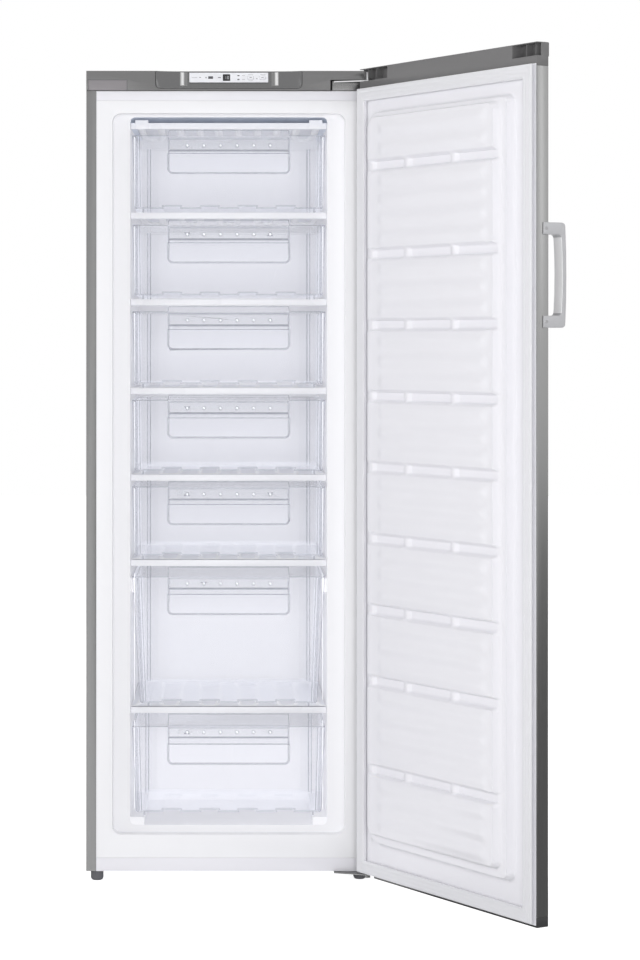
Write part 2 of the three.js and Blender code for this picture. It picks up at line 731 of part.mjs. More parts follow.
/** Front moulding of the top, with its return over the sides. */
function fasciaPanel() {
  const outer = block(-half, half, fasciaFace, FASCIA_DEPTH, fasciaBottom, CABINET_HEIGHT);
  const hollow = block(
    PLASTIC - half, half - PLASTIC, fasciaFace + PLASTIC, FASCIA_DEPTH + 1,
    fasciaBottom - 1, CABINET_HEIGHT - PLASTIC,
  );
  const recess = controlRecess(BEZEL_WALL + BEZEL_GAP);
  return cut(outer, [hollow, recess, hingeSlot(-1, 0), hingeSlot(1, 0)]);
}

function controlBezel() {
  const shell = cut(controlRecess(BEZEL_WALL), [controlRecess(0)]);
  const above = block(-half, half, fasciaFace - 9, FASCIA_DEPTH, CABINET_HEIGHT, CABINET_HEIGHT + 99);
  const before = block(-half, half, fasciaFace - 9, fasciaFace, 0, CABINET_HEIGHT + 99);
  return cut(shell, [above, before]);
}

const stripBack = fasciaFace + BEZEL_DEPTH - SEAT;
const stripTop = CABINET_HEIGHT - STRIP_DROP;
const stripMiddle = stripTop - STRIP_HEIGHT / 2;

function stripWindow(width, height, x, grow) {
  return roundedRect(
    x - width / 2 - grow, stripMiddle - height / 2 - grow,
    x + width / 2 + grow, stripMiddle + height / 2 + grow, 1.5,
  );
}

/** White control strip with openings for the display and the two keys. */
function controlStrip() {
  const outline = roundedRect(-STRIP_HALF, stripTop - STRIP_HEIGHT, STRIP_HALF, stripTop, 1.5);
  const front = stripBack - STRIP_THICKNESS;
  const body = alongY(outline, front, stripBack);
  const openings = [stripWindow(WINDOW_WIDTH, WINDOW_HEIGHT, WINDOW_PLACE, SEAT)];
  for (const place of Object.values(KEY_PLACES)) {
    openings.push(stripWindow(KEY_WIDTH, KEY_HEIGHT, place, SEAT));
  }
  return cut(body, openings.map((shape) => alongY(shape, front - 1, stripBack + 1)));
}

function displayWindow() {
  const shape = stripWindow(WINDOW_WIDTH, WINDOW_HEIGHT, WINDOW_PLACE, 0);
  return alongY(shape, stripBack - STRIP_THICKNESS + SEAT, stripBack);
}

/** A key stands proud of the strip and stops short of the bezel's floor. */
function key(place) {
  const front = stripBack - STRIP_THICKNESS - KEY_PROUD;
  return alongY(stripWindow(KEY_WIDTH, KEY_HEIGHT, place, 0), front, stripBack - KEY_TRAVEL);
}

/** Snap-in cap over the unused hinge slot. */
function hingeHoleCap() {
  const outer = half - HINGE_SIDE_INSET - SEAT;
  const inner = half - HINGE_SIDE_INSET - HINGE_SLOT_WIDTH + SEAT;
  const z1 = fasciaBottom + HINGE_SLOT_HEIGHT - SEAT;
  const face = block(-outer, -inner, fasciaFace, fasciaFace + PLASTIC, fasciaBottom, z1);
  const hook = (x) => block(x - 6, x + 6, fasciaFace + 1, fasciaFace + 12, z1 - 8, z1 - 6);
  return join([face, hook(-outer + 14), hook(-inner - 14)]);
}

// ---------- hinges and feet ----------

/** Outline of a hinge tongue from the cabinet to the round end at the pin. */
function tongueShape(backY) {
  const outer = pinX + HINGE_EDGE;
  const inner = outer - HINGE_TONGUE;
  const shape = new THREE.Shape();
  shape.moveTo(outer, backY);
  shape.lineTo(inner, backY);
  shape.lineTo(inner, fasciaFace - 4);
  shape.lineTo(pinX - HINGE_END_RADIUS, pinY);
  shape.absarc(pinX, pinY, HINGE_END_RADIUS, Math.PI, 2 * Math.PI);
  shape.lineTo(outer, pinY + HINGE_END_RADIUS);
  return shape;
}

/** Upper hinge: flange on the case, riser behind the fascia's slot, tongue and a pin with a boss above it. */
function upperHinge() {
  const outer = half - HINGE_SIDE_INSET - SEAT;
  const z0 = caseTop + SEAT;
  const riser = fasciaFace + PLASTIC + SEAT;
  const line = [
    [riser + HINGE_FLANGE, z0],
    [riser, z0],
    [riser, tongueBottom + HINGE_PLATE],
    [riser - 1, tongueBottom + HINGE_PLATE],
  ].reverse();
  const bracket = alongX(sheet(line.slice(1), HINGE_PLATE), outer - HINGE_WIDTH, outer);
  const tongue = alongZ(tongueShape(riser + HINGE_PLATE), tongueBottom, tongueBottom + HINGE_PLATE);
  const pinEnd = doorTop - HINGE_POCKET_HEIGHT - BUSH_HEIGHT + PIN_SHORT;
  const pin = bar(pinX, pinY, PIN_RADIUS, pinEnd, tongueBottom + 1);
  const boss = bar(pinX, pinY, BOSS_RADIUS, tongueBottom + 1, tongueBottom + HINGE_PLATE + BOSS_HEIGHT);
  return join([bracket, tongue, pin, boss]);
}

/** Lower hinge: plate under the cabinet with a hole for the foot's stud and one for the pin. */
function lowerHinge() {
  const z0 = lowerPlateTop - HINGE_PLATE;
  const plate = alongZ(tongueShape(FOOT_FRONT_RIGHT + HINGE_FLANGE), z0, lowerPlateTop);
  const studHole = bar(feet.right.x, feet.right.y, STUD_RADIUS + SEAT, z0 - 1, lowerPlateTop + 1);
  const pinHole = bar(pinX, pinY, PIN_RADIUS + SEAT, z0 - 1, lowerPlateTop + 1);
  return cut(plate, [studHole, pinHole]);
}

function lowerPin() {
  const plateBottom = lowerPlateTop - HINGE_PLATE;
  const top = doorBottom + FOOT_POCKET_HEIGHT + BUSH_HEIGHT - PIN_SHORT;
  const head = bar(pinX, pinY, PIN_RADIUS + 2.5, plateBottom - SEAT - 4, plateBottom - SEAT, 6);
  return join([head, bar(pinX, pinY, PIN_RADIUS, plateBottom - SEAT - 1, top)]);
}

/** Screw foot with a ribbed grip, a rounded sole edge and a stud that goes up into the cabinet. */
function screwFoot(place, top) {
  const grip = new THREE.Shape();
  for (let i = 0; i < FOOT_RIBS * 2; i++) {
    const radius = FOOT_RADIUS - (i % 2) * FOOT_RIB_DEPTH;
    const angle = (Math.PI * i) / FOOT_RIBS;
    const point = [place.x + radius * Math.cos(angle), place.y + radius * Math.sin(angle)];
    if (i === 0) {
      grip.moveTo(...point);
    } else {
      grip.lineTo(...point);
    }
  }
  const soleHeight = 4;
  const inner = FOOT_RADIUS - FOOT_RIB_DEPTH;
  const profile = [[0, 0], [inner - 3, 0], [inner - 1, 1.2], [inner, soleHeight + 1], [0, soleHeight + 1]];
  const sole = new THREE.LatheGeometry(profile.map(([r, z]) => new THREE.Vector2(r, z)), 24);
  sole.rotateX(Math.PI / 2);
  sole.translate(place.x, place.y, 0);
  const stud = bar(place.x, place.y, STUD_RADIUS, top - 1, top + STUD_LENGTH, 12);
  return join([alongZ(grip, soleHeight, top), solidOf(sole), stud]);
}

function rearFoot(side) {
  const x = side * (half - REAR_FOOT_INSET);
  const y = CABINET_DEPTH - REAR_FOOT_INSET;
  const radii = [[REAR_FOOT_RADIUS, 0], [REAR_FOOT_RADIUS, 5], [REAR_FOOT_RADIUS - 4, FOOT_HEIGHT - SEAT]];
  const points = [[0, 0], ...radii, [0, FOOT_HEIGHT - SEAT]].map(([r, z]) => new THREE.Vector2(r, z));
  const geometry = new THREE.LatheGeometry(points, 20);
  geometry.rotateX(Math.PI / 2);
  geometry.translate(x, y, 0);
  return solidOf(geometry);
}

// ---------- shelves ----------

/** Evaporator shelf: a plate with a snaking refrigerant channel raised from its underside. */
function evaporatorShelf(top) {
  const z1 = top - TRIM_WALL;
  const z0 = z1 - SHELF_PLATE;
  const front = TRIM_FRONT + 4;
  const back = cavityBack - SHELF_BACK_GAP;
  const side = cavityHalf - CAVITY_DRAFT - SEAT;
  const outline = roundedRect(-side, front, side, back, 5);
  const middle = (front + TRIM_DEPTH + back) / 2;
  const length = back - front - TRIM_DEPTH - 10;
  const runs = 2 * Math.floor((cavityHalf - CHANNEL_MARGIN) / CHANNEL_PITCH + 0.5);
  const path = serpentine(runs, CHANNEL_PITCH, length, 3, (run, cross) => {
    return new THREE.Vector3(cross, middle - run, z0 - CHANNEL_RADIUS * 0.3);
  });
  return join([alongZ(outline, z0, z1), tube(path, CHANNEL_RADIUS, 4)]);
}

/** White bar that grips the front edge of a shelf, with taller blocks at its ends on the top shelf. */
function shelfTrim(top, isTop) {
  const z0 = top - TRIM_HEIGHT;
  const y1 = TRIM_FRONT + TRIM_DEPTH;
  const slotTop = top - TRIM_WALL + SEAT;
  const slotBottom = top - TRIM_WALL - SHELF_PLATE - SEAT;
  const profile = polygon([
    [TRIM_FRONT, z0],
    [TRIM_FRONT + 6, z0],
    [TRIM_FRONT + 6, slotBottom - 2],
    [y1, slotBottom - 2],
    [y1, slotBottom],
    [TRIM_FRONT + 4 - SEAT, slotBottom],
    [TRIM_FRONT + 4 - SEAT, slotTop],
    [y1, slotTop],
    [y1, top],
    [TRIM_FRONT, top],
  ]);
  const side = cavityHalf - CAVITY_DRAFT / 5 - SEAT;
  const trim = alongX(profile, -side, side);
  if (!isTop) {
    return trim;
  }
  const outer = side - 9;
  const inner = side - 37;
  const blockRise = 6;
  const ends = [-1, 1].map((way) => {
    const xs = [way * outer, way * inner].sort((a, b) => a - b);
    return block(xs[0], xs[1], TRIM_FRONT - 1, TRIM_FRONT + 8, z0, top + blockRise);
  });
  return cut(join([trim, ...ends]), [shelfSlotClearance(top, side)]);
}

/** Room for the plate's edge behind the end blocks. */
function shelfSlotClearance(top, side) {
  const z0 = top - TRIM_WALL - SHELF_PLATE - SEAT;
  const y0 = TRIM_FRONT + 4 - SEAT;
  return block(-side - 1, side + 1, y0, TRIM_FRONT + TRIM_DEPTH + 1, z0, top - TRIM_WALL + SEAT);
}

// ---------- drawers ----------

/** Heights of the drawer that stands on one shelf and hangs under another. */
function drawerHeights(index) {
  const isLowest = index === shelfTops.length - 1;
  const seat = isLowest ? cavityFloor + FLOOR_LEDGE_HEIGHT : shelfTops[index + 1];
  const rim = shelfTops[index] - TRIM_HEIGHT - RIM_DROP - EXTRA_DROPS[index];
  return { foot: seat + SEAT, rim, grip: shelfTops[index] - TRIM_HEIGHT - 2 };
}

/** Section of the finger scoop in Y and Z, grown by a wall. */
function scoopSection(rim, grow) {
  const ceiling = rim - SCOOP_CEILING_DROP;
  const backFoot = ceiling - SCOOP_BACK_HEIGHT;
  const lip = backFoot - SCOOP_LIP_DROP;
  const sill = lip - SCOOP_OPENING;
  const back = DRAWER_FRONT + SCOOP_DEPTH;
  return polygon([
    [DRAWER_FRONT - 1, sill - grow],
    [DRAWER_FRONT + 4, sill - grow],
    [back + grow, backFoot - grow],
    [back + grow, ceiling + grow],
    [DRAWER_FRONT + GRIP_WALL - grow, ceiling + grow],
    [DRAWER_FRONT + GRIP_WALL - grow, lip],
    [DRAWER_FRONT - 1, lip],
  ]);
}

/** Outline of the mouth of the scoop in the drawer's front, with rounded lower corners. */
function scoopMouth(rim, grow) {
  const lip = rim - SCOOP_CEILING_DROP - SCOOP_BACK_HEIGHT - SCOOP_LIP_DROP;
  const z0 = lip - SCOOP_OPENING - grow;
  return roundedRect(-SCOOP_WIDTH / 2 - grow, z0, SCOOP_WIDTH / 2 + grow, rim + 30, SCOOP_RADIUS + grow);
}

/** The scoop as a solid: its section, rounded off by the outline of its mouth. */
function scoop(rim, grow) {
  const along = alongX(scoopSection(rim, grow), -SCOOP_WIDTH / 2 - grow, SCOOP_WIDTH / 2 + grow);
  return along.intersect(alongY(scoopMouth(rim, grow), DRAWER_FRONT - 2, DRAWER_FRONT + SCOOP_DEPTH + 9));
}

/** Raised channels of the floor, open at the front. */
function floorRibs(length, z0, z1, grow) {
  return [-1.5, -0.5, 0.5, 1.5].map((place) => {
    const x = place * RIB_PITCH;
    const w = RIB_WIDTH / 2 + grow;
    return block(x - w, x + w, DRAWER_FRONT - 2, DRAWER_FRONT + length + grow, z0, z1 + grow);
  });
}

/** A moulded drawer: tapered tub, rim, front with a raised grip, scoop, floor channels and skids. */
function drawer(index) {
  const { foot, rim, grip } = drawerHeights(index);
  const isLowest = index === shelfTops.length - 1;
  const backLimit = isLowest ? stepFront - 4 : cavityBack - DRAWER_BACK_GAP;
  const side = cavityHalf - DRAWER_SIDE_GAP - SLIDE;
  const taper = DRAWER_TAPERS[index];
  const rimWidth = DRAWER_RIMS[index];
  const ribLength = (backLimit - DRAWER_FRONT) * RIB_SHARE;
  const floor = foot + SKID_HEIGHT;
  const wall = DRAWER_WALL;
  const ring = (z, inset, grow) => rectRing(
    inset - side - grow, DRAWER_FRONT - grow, side - inset + grow, backLimit - inset + grow,
    DRAWER_RADIUS + grow, (x, y) => new THREE.Vector3(x, y, z),
  );
  const outer = loft([ring(floor, taper, 0), ring(rim, rimWidth, 0)]);
  const inner = loft([ring(floor + wall, taper, -wall), ring(rim + 1, rimWidth, -wall)]);
  const collarFoot = rim - RIM_THICKNESS;
  const collar = loft([ring(collarFoot, rimWidth, 0), ring(collarFoot + 1, 0, 0), ring(rim, 0, 0)]);
  const front = frontPlate(side, taper, floor, rim, grip, wall);
  const body = cut(join([outer, collar, front]), [inner]);
  const ribs = floorRibs(ribLength, floor - 2, floor + RIB_HEIGHT, 0);
  const ribRoofs = floorRibs(ribLength, floor, floor + RIB_HEIGHT, wall).map((roof) => roof.intersect(outer));
  const scoopShell = scoop(rim, wall).intersect(frontHalf(rim, grip));
  const skids = [-1, 1].map((way) => {
    const x = way * (side - taper - SKID_INSET);
    const w = SKID_WIDTH / 2;
    return block(x - w, x + w, DRAWER_FRONT + 6, backLimit - taper - 20, foot, floor + 1);
  });
  const whole = join([body, ...ribRoofs, scoopShell, ...skids]);
  return join([cut(whole, [...ribs, scoop(rim, 0)]), ...gripNubs(rim)]);
}

function frontHalf(rim, grip) {
  return block(-half, half, DRAWER_FRONT, DRAWER_FRONT + SCOOP_DEPTH + 9, 0, grip);
}

/** The front of a drawer: tapered like the tub up to the rim, and a raised grip in the middle. */
function frontPlate(side, taper, floor, rim, grip, wall) {
  const w = SCOOP_WIDTH / 2 + wall;
  const foot = side - taper;
  const outline = polygon([
    [-foot, floor + 3],
    [3 - foot, floor],
    [foot - 3, floor],
    [foot, floor + 3],
    [side, rim],
    [w, rim],
    [w - 2, grip],
    [2 - w, grip],
    [-w, rim],
    [-side, rim],
  ]);
  return alongY(outline, DRAWER_FRONT, DRAWER_FRONT + wall);
}

/** Small nubs on the back of the scoop, where the fingers hook in. */
function gripNubs(rim) {
  const z = rim - SCOOP_CEILING_DROP - SCOOP_BACK_HEIGHT * 0.58;
  const y = DRAWER_FRONT + SCOOP_DEPTH;
  return Array.from({ length: NUB_COUNT }, (_, i) => {
    const x = (i - (NUB_COUNT - 1) / 2) * NUB_PITCH;
    const ring = (radius, depth) => Array.from({ length: 6 }, (_unused, k) => {
      const angle = (Math.PI * k) / 3;
      return new THREE.Vector3(x + radius * Math.cos(angle), depth, z + radius * Math.sin(angle));
    });
    return loft([ring(NUB_RADIUS * 0.5, y - 1.6), ring(NUB_RADIUS, y + 0.5)]);
  });
}

// ---------- door ----------

/** Door pan section, seen from above: hems, sides, eased corners and face. */
function doorSkin() {
  const edge = doorHalf;
  const line = [
    [edge - SKIN_HEM, skinBack],
    [edge, skinBack],
    [edge, doorFace + SKIN_CORNER],
    [edge - SKIN_CORNER, doorFace],
  ];
  const mirrored = line.map(([x, y]) => [-x, y]).reverse();
  const section = sheet([...line, ...mirrored].reverse(), STEEL);
  const z0 = doorBottom + BOTTOM_CAP_HEIGHT + SEAT;
  return alongZ(section, z0, doorTop - TOP_CAP_HEIGHT - SEAT);
}

function capBlock(z0, z1) {
  const edge = doorHalf;
  return alongZ(polygon([
    [-edge, skinBack],
    [-edge, doorFace + SKIN_CORNER],
    [SKIN_CORNER - edge, doorFace],
    [edge - SKIN_CORNER, doorFace],
    [edge, doorFace + SKIN_CORNER],
    [edge, skinBack],
  ]), z0, z1);
}

function bushHole(z0, z1) {
  return bar(pinX, pinY, PIN_RADIUS + SEAT + BUSH_WALL + SEAT, z0, z1);
}

/** Pocket in the back of the upper cap, out to one end of the door. */
function capPocket(side, length, z1) {
  const room = (reach, wall, top) => {
    const xs = [side * (doorHalf - reach), side * (doorHalf + 1)].sort((a, b) => a - b);
    return block(xs[0], xs[1], doorFace + wall, skinBack + 1, doorTop - HINGE_POCKET_HEIGHT, top);
  };
  return join([room(length, HINGE_POCKET_WALL, z1), room(POCKET_CORNER, POCKET_CORNER_WALL, z1)]);
}

/** Upright webs in a pocket of the upper cap: one closes the end of the door, the others stiffen the lid. */
function capWebs(side, places, z0) {
  return places.map((place) => {
    const near = doorHalf - place;
    const xs = [side * near, side * (near - CAP_WEB)].sort((a, b) => a - b);
    return block(xs[0], xs[1], doorFace + 1, skinBack - CAP_WEB_SET_BACK, z0, doorTop - CAP_LID / 2);
  });
}

/**
 * Upper cap with a lidded pocket at each end, so that the hinge can sit on either side. The webs on the
 * hinge's side stop above its tongue.
 */
function doorTopCap() {
  const lidFoot = doorTop - CAP_LID;
  const pocketFloor = doorTop - HINGE_POCKET_HEIGHT;
  const pockets = [capPocket(-1, SPARE_POCKET_LENGTH, lidFoot), capPocket(1, HINGE_POCKET_LENGTH, lidFoot)];
  const bush = bushHole(pocketFloor - BUSH_HEIGHT - SEAT, pocketFloor + 1);
  const body = cut(capBlock(doorTop - TOP_CAP_HEIGHT, doorTop), [...pockets, bush]);
  const overTongue = tongueBottom + HINGE_PLATE + 2;
  const webs = [...capWebs(-1, [0, 16, 45], pocketFloor - 1), ...capWebs(1, [0, 16, 45], overTongue)];
  return join([body, ...webs]);
}

/** Lower cap with a pocket over the lower hinge. */
function doorBottomCap() {
  const x0 = doorHalf - FOOT_POCKET_LENGTH;
  const roof = doorBottom + FOOT_POCKET_HEIGHT;
  const pocket = block(x0, doorHalf + 1, doorFace + 3, skinBack + 1, doorBottom - 1, roof);
  const bush = bushHole(roof - 1, doorBottom + BOTTOM_CAP_HEIGHT + 1);
  const filler = capBlock(doorBottom, doorBottom + BOTTOM_CAP_HEIGHT);
  return cut(filler, [pocket, bush]);
}

/** Bearing bush that turns on a hinge pin. */
function doorBush(z0) {
  const outer = bar(pinX, pinY, PIN_RADIUS + SEAT + BUSH_WALL, z0, z0 + BUSH_HEIGHT);
  return cut(outer, [bar(pinX, pinY, PIN_RADIUS + SEAT, z0 - 1, z0 + BUSH_HEIGHT + 1)]);
}

const dykeTop = doorTop - DYKE_TOP_INSET;
const dykeBottom = doorBottom + DYKE_BOTTOM_INSET;
const dykeHalf = doorHalf - DYKE_SIDE_INSET;
const panelHalf = dykeHalf - DYKE_LEDGE;
const panelTop = dykeTop - DYKE_LEDGE_TOP;
const panelBottom = dykeBottom + DYKE_LEDGE_BOTTOM;

/** The raised panel of the door: two steps with draft, cut by storage grooves, grown by a distance. */
function dyke(grow) {
  const ring = (w, z0, z1, y, inset) => rectRing(
    inset - w - grow, z0 + inset - grow, w - inset + grow, z1 - inset + grow,
    DYKE_RADIUS + grow, (x, z) => new THREE.Vector3(x, y, z),
  );
  const base = loft([
    ring(dykeHalf, dykeBottom, dykeTop, skinBack - 4, 0),
    ring(dykeHalf, dykeBottom, dykeTop, DYKE_FIRST_RISE + grow, DYKE_DRAFT),
  ]);
  const panel = loft([
    ring(panelHalf, panelBottom, panelTop, 0, 0),
    ring(panelHalf, panelBottom, panelTop, DYKE_SECOND_RISE + grow, DYKE_DRAFT),
  ]);
  const grooves = grooveDrops.map((drop) => {
    const z = doorTop - drop;
    const h = GROOVE_HEIGHT / 2 - grow;
    const reach = dykeHalf - DYKE_DRAFT - 4 - grow;
    return block(-reach, reach, GROOVE_FLOOR + grow, DYKE_SECOND_RISE + 9, z - h, z + h);
  });
  return cut(join([base, panel]), grooves);
}

/** Clip tabs that stand in each storage groove. */
function grooveTabs() {
  return grooveDrops.flatMap((drop) => TAB_PLACES.map((place) => {
    const z = doorTop - drop;
    const h = GROOVE_HEIGHT / 2 + 1;
    const x = place - TAB_WIDTH / 2;
    return block(x, x + TAB_WIDTH, GROOVE_FLOOR - 1, GROOVE_FLOOR + TAB_RISE, z - h, z + h);
  }));
}

/** Soft horizontal ripples that stiffen the panel between two grooves. */
function panelRipples() {
  const edges = [0, ...grooveDrops.flatMap((drop) => [drop - GROOVE_HEIGHT / 2, drop + GROOVE_HEIGHT / 2])];
  edges[0] = doorTop - panelTop + DYKE_DRAFT;
  edges.push(doorTop - panelBottom - DYKE_DRAFT);
  const ripples = [];
  for (let i = 0; i < edges.length; i += 2) {
    const count = Math.floor((edges[i + 1] - edges[i]) / RIPPLE_PITCH);
    const pitch = (edges[i + 1] - edges[i]) / count;
    for (let k = 0; k < count; k++) {
      ripples.push(ripple(doorTop - edges[i] - pitch * (k + 0.5)));
    }
  }
  return ripples;
}

function ripple(z) {
  const w = panelHalf - RIPPLE_INSET;
  const h = RIPPLE_HEIGHT / 2;
  const y = DYKE_SECOND_RISE;
  const ring = (inset, depth) => [
    new THREE.Vector3(inset - w, depth, z - h + inset),
    new THREE.Vector3(w - inset, depth, z - h + inset),
    new THREE.Vector3(w - inset, depth, z + h - inset),
    new THREE.Vector3(inset - w, depth, z + h - inset),
  ];
  return loft([ring(0, y - 0.5), ring(0, y), ring(h * 0.7, y + RIPPLE_RISE)]);
}

/** White formed door liner: flange, two-step raised panel, grooves, clip tabs and ripples. */
function doorLiner() {
  const edge = doorHalf - LINER_FLANGE_INSET;
  const z0 = doorBottom + BOTTOM_CAP_HEIGHT / 4;
  const z1 = doorTop - TOP_MOULDING_HEIGHT - SEAT;
  const flange = block(-edge, edge, skinBack + SEAT, flangeFace, z0, z1);
  const shell = cut(join([flange, dyke(0)]), [dyke(-PLASTIC)]);
  const behind = block(-half, half, skinBack - 9, skinBack + SEAT, 0, CABINET_HEIGHT);
  return join([cut(shell, [behind]), ...grooveTabs(), ...panelRipples()]);
}

/** Foam inside the door, and in the raised panel. */
function doorFoam() {
  const inside = doorHalf - STEEL - SEAT;
  const z0 = doorBottom + BOTTOM_CAP_HEIGHT + SEAT;
  const z1 = doorTop - TOP_CAP_HEIGHT - SEAT;
  const front = doorFace + STEEL + SEAT;
  const inset = SKIN_CORNER;
  const body = alongZ(polygon([
    [inset - inside, front],
    [inside - inset, front],
    [inside, front + inset],
    [inside, skinBack - STEEL - SEAT],
    [-inside, skinBack - STEEL - SEAT],
    [-inside, front + inset],
  ]), z0, z1);
  return join([body, dyke(-PLASTIC - SEAT)]);
}

/** A frame in X and Z with a rectangular opening. */
function frameShape(w, z0, z1, width) {
  const shape = roundedRect(-w, z0, w, z1, 3);
  shape.holes.push(roundedRect(width - w, z0 + width, w - width, z1 - width, 2));
  return shape;
}

/** Magnetic gasket: a narrow foot on the liner's flange and a wider sealing bulb. */
function doorGasket() {
  const w = doorHalf - GASKET_EDGE;
  const z0 = doorBottom + BOTTOM_CAP_HEIGHT / 4 + 1;
  const z1 = doorTop - TOP_MOULDING_HEIGHT - SEAT - 1;
  const foot = flangeFace + SEAT;
  const inset = GASKET_FOOT_INSET;
  const base = frameShape(w - inset, z0 + inset, z1 - inset, GASKET_WIDTH - 2 * inset);
  const bulb = frameShape(w, z0, z1, GASKET_WIDTH);
  return join([alongY(base, foot, foot + GASKET_FOOT + 0.5), alongY(bulb, foot + GASKET_FOOT, -SEAT)]);
}

/** Bow handle on the free edge: two arms that wrap the door's side, and a bowed bar. */
function doorHandle() {
  const z0 = HANDLE_BOTTOM;
  const z1 = z0 + HANDLE_LENGTH;
  const foot = doorFace - SEAT;
  const out = foot - HANDLE_REACH;
  const outline = new THREE.Shape();
  outline.moveTo(foot, z0);
  outline.lineTo(foot, z1);
  outline.lineTo(out + HANDLE_RADIUS, z1);
  outline.quadraticCurveTo(out, z1, out, z1 - HANDLE_RADIUS);
  outline.quadraticCurveTo(out - HANDLE_BOW * 2, (z0 + z1) / 2, out, z0 + HANDLE_RADIUS);
  outline.quadraticCurveTo(out, z0, out + HANDLE_RADIUS, z0);
  const inner = out + HANDLE_BAR;
  const hole = new THREE.Path();
  hole.moveTo(foot, z0 + HANDLE_ARM);
  hole.lineTo(inner + HANDLE_RADIUS, z0 + HANDLE_ARM);
  hole.quadraticCurveTo(inner, z0 + HANDLE_ARM, inner, z0 + HANDLE_ARM + HANDLE_RADIUS);
  hole.quadraticCurveTo(inner - HANDLE_BOW * 2, (z0 + z1) / 2, inner, z1 - HANDLE_ARM - HANDLE_RADIUS);
  hole.quadraticCurveTo(inner, z1 - HANDLE_ARM, inner + HANDLE_RADIUS, z1 - HANDLE_ARM);
  hole.lineTo(foot, z1 - HANDLE_ARM);
  const x0 = -doorHalf - SEAT - HANDLE_WRAP_WALL;
  const grip = alongX(outline, x0, x0 + HANDLE_WIDTH);
  const opening = alongX(new THREE.Shape(hole.getPoints(4)), x0 - 1, x0 + HANDLE_WIDTH + 1);
  const wraps = [z0, z1 - HANDLE_ARM].map((z) => {
    return block(x0, x0 + HANDLE_WRAP_WALL, foot - 1, doorFace + HANDLE_WRAP, z, z + HANDLE_ARM);
  });
  return join([cut(grip, [opening]), ...wraps]);
}

// ---------- cooling circuit ----------

const condenserY = CABINET_DEPTH + STEEL + CONDENSER_STANDOFF;
const condenserBottom = FOOT_HEIGHT + BAY_HEIGHT + 70;

/** Wire-and-tube condenser: a snaking tube, upright wires and two straps with feet on the back panel. */
function condenser() {
  const height = (CONDENSER_RUNS - 1) * CONDENSER_PITCH;
  const middle = condenserBottom + height / 2;
  const path = serpentine(CONDENSER_RUNS, CONDENSER_PITCH, CONDENSER_HALF * 2, 3, (run, cross) => {
    return new THREE.Vector3(run, condenserY, middle + cross);
  });
  const pieces = [tube(path, CONDENSER_TUBE, 4)];
  const z0 = condenserBottom - 12;
  const z1 = condenserBottom + height + 12;
  const span = CONDENSER_HALF - CONDENSER_PITCH / 2 - 10;
  for (let i = 0; i < CONDENSER_WIRES; i++) {
    const x = -span + (2 * span * i) / (CONDENSER_WIRES - 1);
    const y = condenserY - CONDENSER_TUBE - WIRE + 0.6;
    pieces.push(block(x - WIRE / 2, x + WIRE / 2, y, y + WIRE, z0, z1));
  }
  for (const side of [-1, 1]) {
    pieces.push(...condenserStrap(side * (span - 6), z0, z1));
  }
  return join(pieces);
}

/** Upright strap of the condenser, with a foot near each end. */
function condenserStrap(x, z0, z1) {
  const w = STRAP_WIDTH / 2;
  const front = condenserY + CONDENSER_TUBE - 0.6;
  const strap = block(x - w, x + w, front, front + STEEL * 2, z0, z1);
  const panel = CABINET_DEPTH + SEAT + STEEL + SEAT;
  const feetHeights = [z0 + 20, (z0 + z1) / 2 + CONDENSER_PITCH / 2, z1 - 32];
  return [strap, ...feetHeights.map((z) => block(x - w, x + w, panel, front + STEEL, z, z + 10))];
}

const compressorY = (bayFront + CABINET_DEPTH) / 2;
const deckTop = FOOT_HEIGHT + DECK_THICKNESS;
const mountTop = deckTop + SEAT + GROMMET_HEIGHT + 3;

/** Hermetic compressor: domed pot with a seam flange, mounting plate and four grommets. */
function compressor() {
  const levels = [[0, 0.72], [0.06, 0.93], [0.12, 1], [0.44, 1], [0.45, 1.06], [0.5, 1.06], [0.51, 0.99],
    [0.74, 0.95], [0.9, 0.74], [1, 0.32]];
  const rings = levels.map(([rise, size]) => Array.from({ length: 20 }, (_, i) => {
    const angle = (Math.PI * i) / 10;
    const x = COMPRESSOR_PLACE + COMPRESSOR_HALF_X * size * Math.cos(angle);
    const y = compressorY + COMPRESSOR_HALF_Y * size * Math.sin(angle);
    return new THREE.Vector3(x, y, mountTop - 0.5 + COMPRESSOR_HEIGHT * rise);
  }));
  const x = COMPRESSOR_PLACE;
  const y = compressorY;
  const spreadX = COMPRESSOR_HALF_X + 4;
  const spreadY = COMPRESSOR_HALF_Y - 20;
  const plate = alongZ(roundedRect(
    x - spreadX - 12, y - spreadY - 12, x + spreadX + 12, y + spreadY + 12, 10,
  ), mountTop - 3, mountTop);
  const grommets = [[-1, -1], [-1, 1], [1, -1], [1, 1]].map(([a, b]) => {
    return bar(x + a * spreadX, y + b * spreadY, GROMMET_RADIUS, deckTop + SEAT, mountTop - 2, 10);
  });
  return join([loft(rings), plate, ...grommets]);
}

const relayX = COMPRESSOR_PLACE + COMPRESSOR_HALF_X * 1.06 + SEAT;
const relayBottom = mountTop + 30;

/** Starting relay and terminal cover on the compressor's side. */
function relayBox() {
  const size = 44;
  const outline = roundedRect(compressorY - size / 2, relayBottom, compressorY + size / 2, relayBottom + 62, 6);
  return alongX(outline, relayX, relayX + 38);
}

